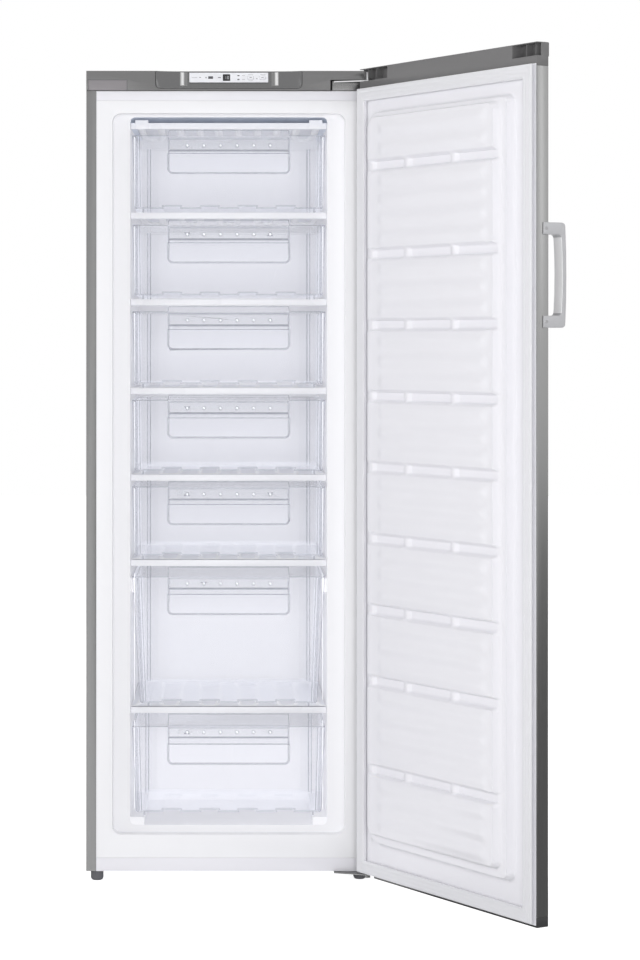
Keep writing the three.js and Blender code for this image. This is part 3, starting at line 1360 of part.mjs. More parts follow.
/** Pipe from the compressor to the condenser's lowest run. */
function dischargeTube() {
  const x = COMPRESSOR_PLACE - COMPRESSOR_HALF_X - SEAT;
  const z = mountTop + COMPRESSOR_HEIGHT * 0.36;
  const bend = DISCHARGE_BEND;
  const out = x - 2 * bend;
  const end = -CONDENSER_HALF + CONDENSER_PITCH / 2 - SEAT;
  const roof = FOOT_HEIGHT + BAY_HEIGHT;
  const points = [
    [x, compressorY, z],
    [out, compressorY, z],
    [out - bend * 0.9, compressorY + bend * 0.8, z + bend * 0.8],
    [out - bend * 1.1, compressorY + bend * 1.8, z + (roof - z) * 0.35],
    [out - bend * 1.5, condenserY - bend * 1.5, roof - bend * 2.6],
    [out - bend * 1.5, condenserY - bend * 0.15, roof - bend * 0.8],
    [out - bend * 1.5, condenserY, roof + bend * 1.5],
    [out - bend * 1.4, condenserY, condenserBottom - bend * 1.2],
    [out - bend * 0.5, condenserY, condenserBottom - bend * 0.15],
    [end, condenserY, condenserBottom],
  ];
  return tube(points.map((p) => new THREE.Vector3(...p)), CONDENSER_TUBE, 6);
}

/** Pipe that brings the cold gas back to the compressor, out of the bay's roof. */
function suctionTube() {
  const x = COMPRESSOR_PLACE + 40;
  const y = compressorY + COMPRESSOR_HALF_Y * 1.06 + PIPE_RADIUS + 1;
  const roof = FOOT_HEIGHT + BAY_HEIGHT - SEAT;
  const z = mountTop + COMPRESSOR_HEIGHT * 0.3;
  const touch = compressorY + COMPRESSOR_HALF_Y * 0.88 + 2 * SEAT;
  const points = [
    [x, touch, z],
    [x, y - 2, z + 2],
    [x, y, z + 10],
    [x, y, roof - 40],
    [x, y - 4, roof - 20],
    [x, y - 6, roof],
  ];
  return tube(points.map((p) => new THREE.Vector3(...p)), PIPE_RADIUS, 8);
}

/** Filter drier: a swaged copper capsule that hangs from the bay's roof. */
function filterDrier() {
  const x = COMPRESSOR_PLACE + COMPRESSOR_HALF_X + 120;
  const roof = FOOT_HEIGHT + BAY_HEIGHT - SEAT;
  const profile = [[0, 0], [1, 0], [1, 0.14], [4, 0.23], [4, 0.8], [1, 0.89], [1, 1], [0, 1]];
  const points = profile.map(([r, share]) => [r * DRIER_NECK, -share * DRIER_LENGTH]);
  const geometry = new THREE.LatheGeometry(points.map(([r, z]) => new THREE.Vector2(r, z)).reverse(), 12);
  geometry.rotateX(Math.PI / 2);
  geometry.translate(x, compressorY, roof);
  return solidOf(geometry);
}

/** Gland for the mains lead in the deck's rear lip. */
function cordGland() {
  const x = relayX + 90;
  const y = CABINET_DEPTH - STEEL - SEAT + SEAT;
  const z = FOOT_HEIGHT + 12;
  const points = [[0, 0], [9, 0], [9, 5], [6.5, 8], [6, 16], [3.6, 16], [3.6, 4], [0, 4]];
  const geometry = new THREE.LatheGeometry(points.map(([r, a]) => new THREE.Vector2(r, a)), 14);
  geometry.translate(x, y, z);
  return solidOf(geometry);
}

// ---------- assembly ----------

function buildCabinet() {
  const cabinet = new THREE.Group();
  cabinet.add(
    part('outer_case', outerCase(), silverSteel),
    part('back_panel', backPanel(), zincSteel),
    part('upper_front_rail', upperRail(), whiteSteel),
    part('lower_front_rail', lowerRail(), whiteSteel),
    part('inner_liner', innerLiner(), whitePlastic),
    part('foam_insulation', foamInsulation(), foam),
    part('base_pan', basePan(), zincSteel),
    part('compressor_deck', compressorDeck(), zincSteel),
    part('top_panel', topPanel(), greyPlastic),
    part('fascia_panel', fasciaPanel(), greyPlastic),
    part('control_bezel', controlBezel(), silverPaint),
    part('control_strip', controlStrip(), whitePlastic),
    part('display_window', displayWindow(), smokedGlass),
    part('hinge_hole_cap', hingeHoleCap(), greyPlastic),
    part('upper_hinge', upperHinge(), zincSteel),
    part('lower_hinge_plate', lowerHinge(), zincSteel),
    part('lower_hinge_pin', lowerPin(), zincSteel),
  );
  for (const [name, place] of Object.entries(KEY_PLACES)) {
    cabinet.add(part(name, key(place), whitePlastic));
  }
  cabinet.add(
    part('front_foot_left', screwFoot(feet.left, FOOT_HEIGHT - SEAT), darkPlastic),
    part('front_foot_right', screwFoot(feet.right, lowerPlateTop - HINGE_PLATE - SEAT), darkPlastic),
    part('rear_foot_left', rearFoot(-1), darkPlastic),
    part('rear_foot_right', rearFoot(1), darkPlastic),
  );
  return cabinet;
}

function buildStorage() {
  const storage = new THREE.Group();
  shelfTops.forEach((top, index) => {
    const number = index + 1;
    storage.add(
      part(`evaporator_shelf_${number}`, evaporatorShelf(top), whiteEnamel),
      part(`shelf_trim_${number}`, shelfTrim(top, index === 0), whitePlastic),
      part(`drawer_${number}`, drawer(index), clearPlastic),
    );
  });
  return storage;
}

function buildCooling() {
  const cooling = new THREE.Group();
  cooling.add(
    part('compressor', compressor(), blackPaint),
    part('relay_box', relayBox(), darkPlastic),
    part('discharge_tube', dischargeTube(), copper),
    part('suction_tube', suctionTube(), copper),
    part('filter_drier', filterDrier(), copper),
    part('condenser', condenser(), blackPaint),
    part('cord_gland', cordGland(), darkPlastic),
  );
  return cooling;
}

/** The door turns about the hinge pin; its pieces are built shut. */
function buildDoor() {
  const shut = new THREE.Group();
  shut.position.set(-pinX, -pinY, 0);
  const pocketFloor = doorTop - HINGE_POCKET_HEIGHT;
  shut.add(
    part('door_skin', doorSkin(), silverSteel),
    part('door_liner', doorLiner(), whitePlastic),
    part('door_foam', doorFoam(), foam),
    part('door_gasket', doorGasket(), softWhite),
    part('door_top_cap', doorTopCap(), greyPlastic),
    part('door_bottom_cap', doorBottomCap(), greyPlastic),
    part('door_bush_upper', doorBush(pocketFloor - BUSH_HEIGHT), darkPlastic),
    part('door_bush_lower', doorBush(doorBottom + FOOT_POCKET_HEIGHT), darkPlastic),
    part('door_handle', doorHandle(), silverPaint),
  );
  const door = new THREE.Group();
  door.position.set(pinX, pinY, 0);
  door.rotation.z = THREE.MathUtils.degToRad(DOOR_OPEN_ANGLE);
  door.add(shut);
  return door;
}

const freezer = new THREE.Group();
freezer.position.set(-feet.left.x, -feet.left.y, 0);
freezer.add(buildCabinet(), buildStorage(), buildCooling(), buildDoor());

export default freezer;
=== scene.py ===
"""Looks of an upright freezer with an open door and seven clear drawers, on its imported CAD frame."""

import json
import logging
import math
from collections.abc import Iterable
from dataclasses import dataclass
from enum import Enum

import bmesh
import bpy
from mathutils import Matrix, Vector

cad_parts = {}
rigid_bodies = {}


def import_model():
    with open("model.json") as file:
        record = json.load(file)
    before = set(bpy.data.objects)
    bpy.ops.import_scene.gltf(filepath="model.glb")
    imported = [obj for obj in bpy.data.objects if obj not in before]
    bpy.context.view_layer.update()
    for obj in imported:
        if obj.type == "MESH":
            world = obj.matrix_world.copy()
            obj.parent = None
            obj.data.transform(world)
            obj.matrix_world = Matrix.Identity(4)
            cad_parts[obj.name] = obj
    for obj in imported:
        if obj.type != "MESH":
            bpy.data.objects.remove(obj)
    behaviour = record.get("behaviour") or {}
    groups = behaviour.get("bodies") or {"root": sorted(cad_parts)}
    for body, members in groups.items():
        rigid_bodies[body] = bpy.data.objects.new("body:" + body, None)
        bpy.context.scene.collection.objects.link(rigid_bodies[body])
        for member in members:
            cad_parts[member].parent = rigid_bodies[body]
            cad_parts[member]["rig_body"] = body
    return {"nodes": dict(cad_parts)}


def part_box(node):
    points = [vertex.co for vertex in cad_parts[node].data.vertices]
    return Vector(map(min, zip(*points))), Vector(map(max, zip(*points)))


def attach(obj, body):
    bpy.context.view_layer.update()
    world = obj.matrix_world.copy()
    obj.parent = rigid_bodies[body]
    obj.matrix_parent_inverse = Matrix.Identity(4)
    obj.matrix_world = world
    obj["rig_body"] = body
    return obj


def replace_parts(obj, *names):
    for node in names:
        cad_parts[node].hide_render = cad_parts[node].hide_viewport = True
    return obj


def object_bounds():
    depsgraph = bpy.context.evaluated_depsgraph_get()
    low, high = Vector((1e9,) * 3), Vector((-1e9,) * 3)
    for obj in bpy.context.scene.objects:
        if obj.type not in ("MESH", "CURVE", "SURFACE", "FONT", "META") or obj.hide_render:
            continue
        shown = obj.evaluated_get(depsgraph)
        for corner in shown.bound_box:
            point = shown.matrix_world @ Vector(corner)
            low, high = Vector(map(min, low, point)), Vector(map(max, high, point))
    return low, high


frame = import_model()
CAD_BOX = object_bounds()
CASE_LOW, CASE_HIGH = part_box("outer_case")
MIDDLE_X = (CASE_LOW[0] + CASE_HIGH[0]) / 2
TOP = CAD_BOX[1][2]
LOG = logging.getLogger("freezer")
MM = 0.001
WELD_REACH = 0.002 * MM
# Angles between neighbouring faces, in degrees, past which their edge counts as sharp.
FLAT_ANGLE = 0.3
SIDE_ANGLE = 14.0
EASED_ANGLE = 32.0
MOULDED_ANGLE = 35.0
RIB_ANGLE = 40.0
RELIEF_ANGLE = 60.0
Colour = tuple[float, float, float]
Place = tuple[float, float, float]
Slab = tuple[float, float, float, float]


# ---------- shader groups ----------


class Grain(Enum):
    """Way in which the brush strokes of a steel finish run."""

    UPRIGHT = (260.0, 260.0, 3.0)
    LEVEL = (3.0, 260.0, 260.0)


class NodeBook:
    """Builds each shared shader node group once and hands it out by name."""

    NOISE_ROUGHNESS = 0.6
    STREAK_DETAIL = 4.0
    CLOUD_DETAIL = 2.0
    CLOUD_SCALE = 4.0

    def __init__(self) -> None:
        """Starts with no groups."""
        self._groups: dict[str, bpy.types.NodeTree] = {}

    def group(self, name: str) -> bpy.types.NodeTree:
        """Gives a shared group.

        Args:
            name: Either brushed_grain or moulded_skin.

        Returns:
            The node group, built on first use.
        """
        if name not in self._groups:
            builder = {"brushed_grain": self._brushed_grain, "moulded_skin": self._moulded_skin}[name]
            self._groups[name] = builder()
        return self._groups[name]

    def _new_tree(self, name: str) -> tuple[bpy.types.NodeTree, bpy.types.Node, bpy.types.Node]:
        """Makes an empty group with the sockets that every surface effect shares."""
        tree = bpy.data.node_groups.new(name, "ShaderNodeTree")
        socket = tree.interface.new_socket
        socket("Tint", in_out="INPUT", socket_type="NodeSocketColor")
        for label in ("Variation", "Roughness", "Roughness Spread", "Scale"):
            socket(label, in_out="INPUT", socket_type="NodeSocketFloat")
        socket("Stretch", in_out="INPUT", socket_type="NodeSocketVector")
        socket("Colour", in_out="OUTPUT", socket_type="NodeSocketColor")
        socket("Roughness", in_out="OUTPUT", socket_type="NodeSocketFloat")
        socket("Height", in_out="OUTPUT", socket_type="NodeSocketFloat")
        return tree, tree.nodes.new("NodeGroupInput"), tree.nodes.new("NodeGroupOutput")

    def _noise(
        self, tree: bpy.types.NodeTree, vector: bpy.types.NodeSocket, detail: float
    ) -> bpy.types.Node:
        """Adds a noise texture that reads a vector."""
        noise = tree.nodes.new("ShaderNodeTexNoise")
        noise.inputs["Detail"].default_value = detail
        noise.inputs["Roughness"].default_value = self.NOISE_ROUGHNESS
        tree.links.new(vector, noise.inputs["Vector"])
        return noise

    def _spread(
        self,
        tree: bpy.types.NodeTree,
        value: bpy.types.NodeSocket,
        middle: bpy.types.NodeSocket,
        width: bpy.types.NodeSocket,
    ) -> bpy.types.NodeSocket:
        """Spreads a 0 to 1 value about a middle by a width.

        Args:
            tree: Group to add the nodes to.
            value: Value to spread.
            middle: Centre of the result.
            width: Full width of the result.

        Returns:
            Socket of the spread value.
        """
        centred = tree.nodes.new("ShaderNodeMath")
        centred.operation = "SUBTRACT"
        centred.inputs[1].default_value = 0.5
        tree.links.new(value, centred.inputs[0])
        result = tree.nodes.new("ShaderNodeMath")
        result.operation = "MULTIPLY_ADD"
        tree.links.new(centred.outputs[0], result.inputs[0])
        tree.links.new(width, result.inputs[1])
        tree.links.new(middle, result.inputs[2])
        return result.outputs[0]

    def _tinted(
        self, tree: bpy.types.NodeTree, source: bpy.types.Node, value: bpy.types.NodeSocket
    ) -> bpy.types.NodeSocket:
        """Darkens and lightens the group's tint by a value."""
        one = tree.nodes.new("ShaderNodeValue")
        one.outputs[0].default_value = 1.0
        factor = self._spread(tree, value, one.outputs[0], source.outputs["Variation"])
        scale = tree.nodes.new("ShaderNodeVectorMath")
        scale.operation = "SCALE"
        tree.links.new(source.outputs["Tint"], scale.inputs[0])
        tree.links.new(factor, scale.inputs["Scale"])
        return scale.outputs[0]

    def _brushed_grain(self) -> bpy.types.NodeTree:
        """Fine streaks along one direction, for brushed and rolled steel."""
        tree, source, target = self._new_tree("brushed_grain")
        place = tree.nodes.new("ShaderNodeTexCoord")
        stretch = tree.nodes.new("ShaderNodeVectorMath")
        stretch.operation = "MULTIPLY"
        tree.links.new(place.outputs["Object"], stretch.inputs[0])
        tree.links.new(source.outputs["Stretch"], stretch.inputs[1])
        streaks = self._noise(tree, stretch.outputs[0], self.STREAK_DETAIL)
        tree.links.new(source.outputs["Scale"], streaks.inputs["Scale"])
        tree.links.new(self._tinted(tree, source, streaks.outputs["Fac"]), target.inputs["Colour"])
        rough = self._spread(
            tree, streaks.outputs["Fac"], source.outputs["Roughness"], source.outputs["Roughness Spread"]
        )
        tree.links.new(rough, target.inputs["Roughness"])
        tree.links.new(streaks.outputs["Fac"], target.inputs["Height"])
        return tree

    def _moulded_skin(self) -> bpy.types.NodeTree:
        """Faint clouds and a fine orange-peel texture, for moulded, formed and painted surfaces."""
        tree, source, target = self._new_tree("moulded_skin")
        place = tree.nodes.new("ShaderNodeTexCoord")
        clouds = self._noise(tree, place.outputs["Object"], self.CLOUD_DETAIL)
        clouds.inputs["Scale"].default_value = self.CLOUD_SCALE
        peel = self._noise(tree, place.outputs["Object"], self.CLOUD_DETAIL)
        tree.links.new(source.outputs["Scale"], peel.inputs["Scale"])
        tree.links.new(self._tinted(tree, source, clouds.outputs["Fac"]), target.inputs["Colour"])
        rough = self._spread(
            tree, clouds.outputs["Fac"], source.outputs["Roughness"], source.outputs["Roughness Spread"]
        )
        tree.links.new(rough, target.inputs["Roughness"])
        tree.links.new(peel.outputs["Fac"], target.inputs["Height"])
        return tree


NODE_BOOK = NodeBook()


# ---------- finishes ----------


@dataclass(frozen=True)
class Finish:
    """A surface finish: a tint with small changes over the surface, and a fine texture."""

    name: str
    tint: Colour
    roughness: float
    metallic: float = 0.0
    variation: float = 0.02
    roughness_spread: float = 0.08
    texture: str = "moulded_skin"
    texture_scale: float = 900.0
    texture_depth: float = 0.00002
    stretch: Place = (1.0, 1.0, 1.0)
    # Emission of the tint; on every piece but the lit digits it is painted light.
    glow: float = 0.0

    def material(self) -> bpy.types.Material:
        """Gives the finish as a material, built on first use."""
        known = bpy.data.materials.get(self.name)
        if known is not None:
            return known
        made = bpy.data.materials.new(self.name)
        made.use_nodes = True
        shader = made.node_tree.nodes["Principled BSDF"]
        shader.inputs["Metallic"].default_value = self.metallic
        shader.inputs["Emission Color"].default_value = (*self.tint, 1.0)
        shader.inputs["Emission Strength"].default_value = self.glow
        self._dress(made.node_tree, shader)
        return made

    def _dress(self, tree: bpy.types.NodeTree, shader: bpy.types.Node) -> None:
        """Feeds the shader from the finish's texture group."""
        skin = tree.nodes.new("ShaderNodeGroup")
        skin.node_tree = NODE_BOOK.group(self.texture)
        skin.inputs["Tint"].default_value = (*self.tint, 1.0)
        skin.inputs["Variation"].default_value = self.variation
        skin.inputs["Roughness"].default_value = self.roughness
        skin.inputs["Roughness Spread"].default_value = self.roughness_spread
        skin.inputs["Scale"].default_value = self.texture_scale
        skin.inputs["Stretch"].default_value = self.stretch
        bump = tree.nodes.new("ShaderNodeBump")
        bump.inputs["Distance"].default_value = self.texture_depth
        tree.links.new(skin.outputs["Height"], bump.inputs["Height"])
        tree.links.new(skin.outputs["Colour"], shader.inputs["Base Color"])
        tree.links.new(skin.outputs["Roughness"], shader.inputs["Roughness"])
        tree.links.new(bump.outputs["Normal"], shader.inputs["Normal"])


@dataclass(frozen=True)
class ClearFinish(Finish):
    """A see-through moulding that shows most where it is seen edge-on."""

    face_alpha: float = 0.1
    edge_alpha: float = 0.75
    edge_blend: float = 0.35

    def material(self) -> bpy.types.Material:
        """Gives the finish as a material, built on first use."""
        made = super().material()
        tree = made.node_tree
        shader = tree.nodes["Principled BSDF"]
        facing = tree.nodes.new("ShaderNodeLayerWeight")
        facing.inputs["Blend"].default_value = self.edge_blend
        opacity = tree.nodes.new("ShaderNodeMapRange")
        opacity.inputs["To Min"].default_value = self.face_alpha
        opacity.inputs["To Max"].default_value = self.edge_alpha
        tree.links.new(facing.outputs["Facing"], opacity.inputs["Value"])
        tree.links.new(opacity.outputs["Result"], shader.inputs["Alpha"])
        return made


def steel(name: str, tint: Colour, roughness: float, grain: Grain, metallic: float = 1.0) -> Finish:
    """Gives a brushed steel finish whose streaks run one way."""
    return Finish(
        name,
        tint,
        roughness,
        metallic,
        variation=0.16,
        roughness_spread=0.14,
        texture="brushed_grain",
        texture_scale=1.0,
        texture_depth=0.00001,
        stretch=grain.value,
    )


CASE_STEEL = steel("case_steel", (0.24, 0.24, 0.24), 0.42, Grain.UPRIGHT)
DOOR_STEEL = steel("door_steel", (0.345, 0.345, 0.345), 0.3, Grain.UPRIGHT)
FASCIA_GREY = steel("fascia_grey", (0.2, 0.199, 0.2), 0.3, Grain.LEVEL, 0.9)
HINGE_ZINC = steel("hinge_zinc", (0.2, 0.2, 0.2), 0.26, Grain.LEVEL)
BACK_ZINC = steel("back_zinc", (0.55, 0.56, 0.57), 0.45, Grain.UPRIGHT, 0.9)
# Painted highlight for the upper hinge tongue's edges.
HINGE_PAINTED_HIGHLIGHT = Finish("hinge_painted_highlight", (0.62, 0.62, 0.63), 0.3, 0.7)
CAP_DARK = Finish("cap_dark", (0.05, 0.05, 0.052), 0.4, 0.1, texture_scale=1200.0)
# Painted light: a much lighter copy of the handle's silver for the grip's inward faces.
HANDLE_GRIP_PAINTED_LIGHT = Finish("handle_grip_painted_light", (0.96, 0.96, 0.975), 0.34, 0.1, texture_scale=1500.0)
HANDLE_PLUG = Finish("handle_plug", (0.46, 0.46, 0.47), 0.4, 0.2)
HANDLE_SILVER = Finish("handle_silver", (0.51, 0.512, 0.53), 0.34, 0.2, texture_scale=1500.0)
BEZEL_SILVER = Finish("bezel_silver", (0.17, 0.17, 0.172), 0.2, 0.95, texture_scale=1500.0)
LINER_WHITE = Finish("liner_white", (0.89, 0.89, 0.915), 0.32, texture_scale=500.0, variation=0.015)
# Painted light: the liner's inside glows faintly, lightening the shade deep in the box.
LINER_INSIDE_PAINTED_GLOW = Finish(
    "liner_inside_painted_glow", (0.885, 0.885, 0.915), 0.32, texture_scale=500.0, variation=0.015, glow=0.095
)
# Painted shade: a darker, bluer copy of the inside liner for the faces under the ceiling, with less glow.
LINER_CEILING_PAINTED_SHADE = Finish(
    "liner_ceiling_painted_shade", (0.78, 0.83, 0.93), 0.4, texture_scale=500.0, variation=0.015, glow=0.03
)
# Painted reflections on the bezel's recess: a narrow bright glint, a wider sheen and a broad faint sheen
# at each curved end.
BEZEL_GLINT = Finish("bezel_glint", (0.72, 0.72, 0.72), 0.35, 0.9)
BEZEL_SHEEN = Finish("bezel_sheen", (0.4, 0.4, 0.4), 0.35, 0.9)
BEZEL_BROAD_SHEEN = Finish("bezel_broad_sheen", (0.225, 0.225, 0.226), 0.3, 0.9)
DOOR_WHITE = Finish("door_white", (0.845, 0.84, 0.88), 0.34, texture_scale=500.0, variation=0.015)
TRIM_WHITE = Finish("trim_white", (0.855, 0.86, 0.9), 0.28)
PAINT_WHITE = Finish("paint_white", (0.825, 0.82, 0.865), 0.3, texture_scale=700.0)
# Painted light: the shelf enamel and channel glow faintly, lightening the shade inside the box.
ENAMEL_PAINTED_GLOW = Finish("shelf_enamel_painted_glow", (0.88, 0.89, 0.93), 0.4, texture_scale=400.0, glow=0.05)
CHANNEL_PAINTED_GLOW = Finish("shelf_channel_painted_glow", (0.93, 0.935, 0.955), 0.35, texture_scale=400.0, glow=0.09)
GASKET_WHITE = Finish("gasket_white", (0.78, 0.78, 0.81), 0.55, texture_scale=1200.0)
CAP_GREY = Finish("cap_grey", (0.165, 0.163, 0.165), 0.36, 0.2, texture_scale=1200.0)
HOLE_CAP_GREY = Finish("hole_cap_grey", (0.26, 0.247, 0.258), 0.45, 0.1, texture_scale=1600.0)
DARK_PLASTIC = Finish("dark_plastic", (0.035, 0.035, 0.037), 0.5, texture_scale=800.0)
BLACK_PAINT = Finish("black_paint", (0.018, 0.018, 0.02), 0.35, 0.1, texture_scale=300.0)
COPPER = Finish("copper", (0.72, 0.36, 0.2), 0.3, 1.0, variation=0.15, texture_scale=200.0)
DISPLAY = Finish("display", (0.02, 0.02, 0.022), 0.3, texture_scale=2000.0)
FOAM = Finish("foam", (0.84, 0.83, 0.8), 0.9, texture_scale=200.0, texture_depth=0.0004)
MARK_GREY = Finish("mark_grey", (0.28, 0.28, 0.29), 0.5)
# Painted light: the clear drawers glow faintly, and their edges and side borders take darker painted lines
# where clear plastic would bend the light.
DRAWER_CLEAR_PAINTED_GLOW = ClearFinish(
    "drawer_clear_painted_glow", (0.78, 0.8, 0.88), 0.08,
    roughness_spread=0.04, face_alpha=0.035, edge_alpha=0.34, glow=0.35,
)
DRAWER_EDGE_PAINTED_SHADE = ClearFinish(
    "drawer_edge", (0.26, 0.27, 0.32), 0.12,
    roughness_spread=0.04, face_alpha=0.44, edge_alpha=0.52, glow=0.3,
)
# Painted shade and highlight: a grey copy of each nub sits just below and behind it, and the nubs and
# drawer glints glow white.
NUB_PAINTED_SHADE = Finish("nub_painted_shade", (0.34, 0.35, 0.38), 0.4)
CLEAR_PAINTED_HIGHLIGHT = Finish("clear_painted_highlight", (0.93, 0.94, 0.97), 0.15, glow=0.3)
MARK_DARK = Finish("mark_dark", (0.09, 0.09, 0.1), 0.5)
MARK_FAINT = Finish("mark_faint", (0.52, 0.52, 0.54), 0.5)
DIGIT_LIGHT = Finish("digit_light", (0.55, 0.56, 0.58), 0.4, glow=0.1)
WIRE_BLACK = Finish("wire_black", (0.02, 0.02, 0.022), 0.3, 0.1, texture_scale=300.0)


# ---------- mesh tools ----------


def body_of(node: str) -> str:
    """Names the body that carries a CAD node."""
    return frame["nodes"][node]["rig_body"]


def corners_of(node: str) -> tuple[Vector, Vector]:
    """Gives the low and the high corner of a CAD node's box, in metres."""
    low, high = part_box(node)
    return Vector(low), Vector(high)


def shaded(mesh: bpy.types.Mesh, angle: float) -> bpy.types.Mesh:
    """Shades a mesh smooth, apart from edges sharper than an angle in degrees."""
    mesh.shade_smooth()
    mesh.set_sharp_from_angle(angle=math.radians(angle))
    return mesh


def shown(name: str, mesh: bpy.types.Mesh, finish: Finish | None, body: str) -> bpy.types.Object:
    """Puts a finished mesh in the scene, riding on a body.

    Args:
        name: Name of the new object.
        mesh: Mesh whose place is in its vertices.
        finish: Finish of the whole piece, or None where the mesh has its materials.
        body: CAD body that carries it.

    Returns:
        The new object.
    """
    mesh.name = name
    if finish is not None:
        mesh.materials.clear()
        mesh.materials.append(finish.material())
    piece = bpy.data.objects.new(name, mesh)
    bpy.context.scene.collection.objects.link(piece)
    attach(piece, body)
    LOG.info("%s: %d faces on %s", name, len(mesh.polygons), body)
    return piece


def whole_mesh(node: str) -> bpy.types.Mesh:
    """Copies a CAD node's loose triangles into one welded mesh with its flat faces joined."""
    copied = bpy.data.meshes.new(f"{node}_welded")
    work = bmesh.new()
    work.from_mesh(frame["nodes"][node].data)
    bmesh.ops.remove_doubles(work, verts=work.verts, dist=WELD_REACH)
    bmesh.ops.dissolve_limit(
        work,
        angle_limit=math.radians(FLAT_ANGLE),
        verts=work.verts,
        edges=work.edges,
        delimit={"NORMAL"},
    )
    work.to_mesh(copied)
    work.free()
    return copied


def box_mesh(low: Place, high: Place) -> bpy.types.Mesh:
    """Makes a plain block between two corners, for easing and shaping."""
    mesh = bpy.data.meshes.new("block")
    work = bmesh.new()
    bmesh.ops.create_cube(work, size=1.0)
    for vertex in work.verts:
        vertex.co = Vector(tuple(high[i] if vertex.co[i] > 0 else low[i] for i in range(3)))
    work.to_mesh(mesh)
    work.free()
    return mesh


def slabs_mesh(places: list[Slab], face: float, thickness: float = 0.15 * MM) -> bpy.types.Mesh:
    """Makes thin upright slabs whose backs lie on a face, for printed marks and digits.

    Args:
        places: Centre X, centre Z, width and height of each slab, in metres.
        face: Y of the face behind them.
        thickness: How far they stand out.

    Returns:
        One mesh of all the slabs.
    """
    mesh = bpy.data.meshes.new("slabs")
    work = bmesh.new()
    for x, z, width, height in places:
        size = Matrix.Diagonal((width, thickness, height, 1.0))
        middle = Matrix.Translation((x, face - thickness / 2, z))
        bmesh.ops.create_cube(work, size=1.0, matrix=middle @ size)
    work.to_mesh(mesh)
    work.free()
    return mesh


def frame_ring(profile: list[tuple[float, float]], half: float, low: float, high: float) -> bpy.types.Mesh:
    """Runs a closed profile round an upright rectangle, with mitred corners.

    Args:
        profile: Inset from the rectangle's edge and Y of each point.
        half: Half width of the rectangle.
        low: Z of its foot.
        high: Z of its top.

    Returns:
        The ring's mesh.
    """
    mesh = bpy.data.meshes.new("ring")
    work = bmesh.new()
    corners = []
    for side_x, side_z in ((-1, -1), (1, -1), (1, 1), (-1, 1)):
        edge = high if side_z > 0 else low
        points = [(side_x * (half - inset), y, edge - side_z * inset) for inset, y in profile]
        corners.append([work.verts.new(point) for point in points])
    for index, start in enumerate(corners):
        end = corners[(index + 1) % 4]
        for k in range(len(profile)):
            n = (k + 1) % len(profile)
            work.faces.new((start[k], end[k], end[n], start[n]))
    bmesh.ops.recalc_face_normals(work, faces=work.faces)
    work.to_mesh(mesh)
    work.free()
    return shaded(mesh, RIB_ANGLE)


def backed(mesh: bpy.types.Mesh, back: float) -> bpy.types.Mesh:
    """Closes an open relief by walls down to a flat back.

    Args:
        mesh: Relief in X and Z with its height in Y.
        back: Y of the flat back.

    Returns:
        The same mesh, closed.
    """
    work = bmesh.new()
    work.from_mesh(mesh)
    border = [edge for edge in work.edges if edge.is_boundary]
    grown = bmesh.ops.extrude_edge_only(work, edges=border)["geom"]
    for vertex in (item for item in grown if isinstance(item, bmesh.types.BMVert)):
        vertex.co.y = back
    rim = [item for item in grown if isinstance(item, bmesh.types.BMEdge)]
    bmesh.ops.contextual_create(work, geom=rim)
    bmesh.ops.recalc_face_normals(work, faces=work.faces)
    work.to_mesh(mesh)
    work.free()
    return shaded(mesh, RELIEF_ANGLE)


def evaluated(piece: bpy.types.Object) -> bpy.types.Mesh:
    """Bakes an object's modifiers into a plain mesh and takes the object away."""
    depsgraph = bpy.context.evaluated_depsgraph_get()
    result = bpy.data.meshes.new_from_object(piece.evaluated_get(depsgraph))
    bpy.data.objects.remove(piece)
    return result


def eased(
    mesh: bpy.types.Mesh, width: float, segments: int = 2, edge_slot: int = -1
) -> bpy.types.Mesh:
    """Rounds a mesh's sharp edges and shades the rest smooth.

    Args:
        mesh: Welded mesh.
        width: Width of the rounding, in metres.
        segments: Faces across each rounding.
        edge_slot: Material slot of the rounded edges, or -1 for that of their faces.

    Returns:
        A new mesh.
    """
    piece = bpy.data.objects.new("easing", mesh)
    bpy.context.scene.collection.objects.link(piece)
    bevel = piece.modifiers.new("edges", "BEVEL")
    bevel.width = width
    bevel.segments = segments
    bevel.limit_method = "ANGLE"
    bevel.angle_limit = math.radians(EASED_ANGLE)
    bevel.use_clamp_overlap = True
    bevel.material = edge_slot
    return shaded(evaluated(piece), EASED_ANGLE)


def smooth_sides(work: bmesh.types.BMesh) -> list[list[bmesh.types.BMFace]]:
    """Gathers the faces of a mesh into sides that bend only gently.

    Args:
        work: Mesh whose sides meet at sharp edges.

    Returns:
        The faces of each side.
    """
    gentle = math.cos(math.radians(SIDE_ANGLE))
    waiting = set(work.faces)
    sides = []
    while waiting:
        side = [waiting.pop()]
        for face in side:
            for edge in face.edges:
                for other in edge.link_faces:
                    if other in waiting and other.normal.dot(face.normal) > gentle:
                        waiting.remove(other)
                        side.append(other)
        sides.append(side)
    return sides


def rim_length(side: list[bmesh.types.BMFace]) -> float:
    """Measures the outline of a side, in metres."""
    members = set(side)
    edges = (edge for face in side for edge in face.edges)
    return sum(edge.calc_length() for edge in edges if not members.issuperset(edge.link_faces))


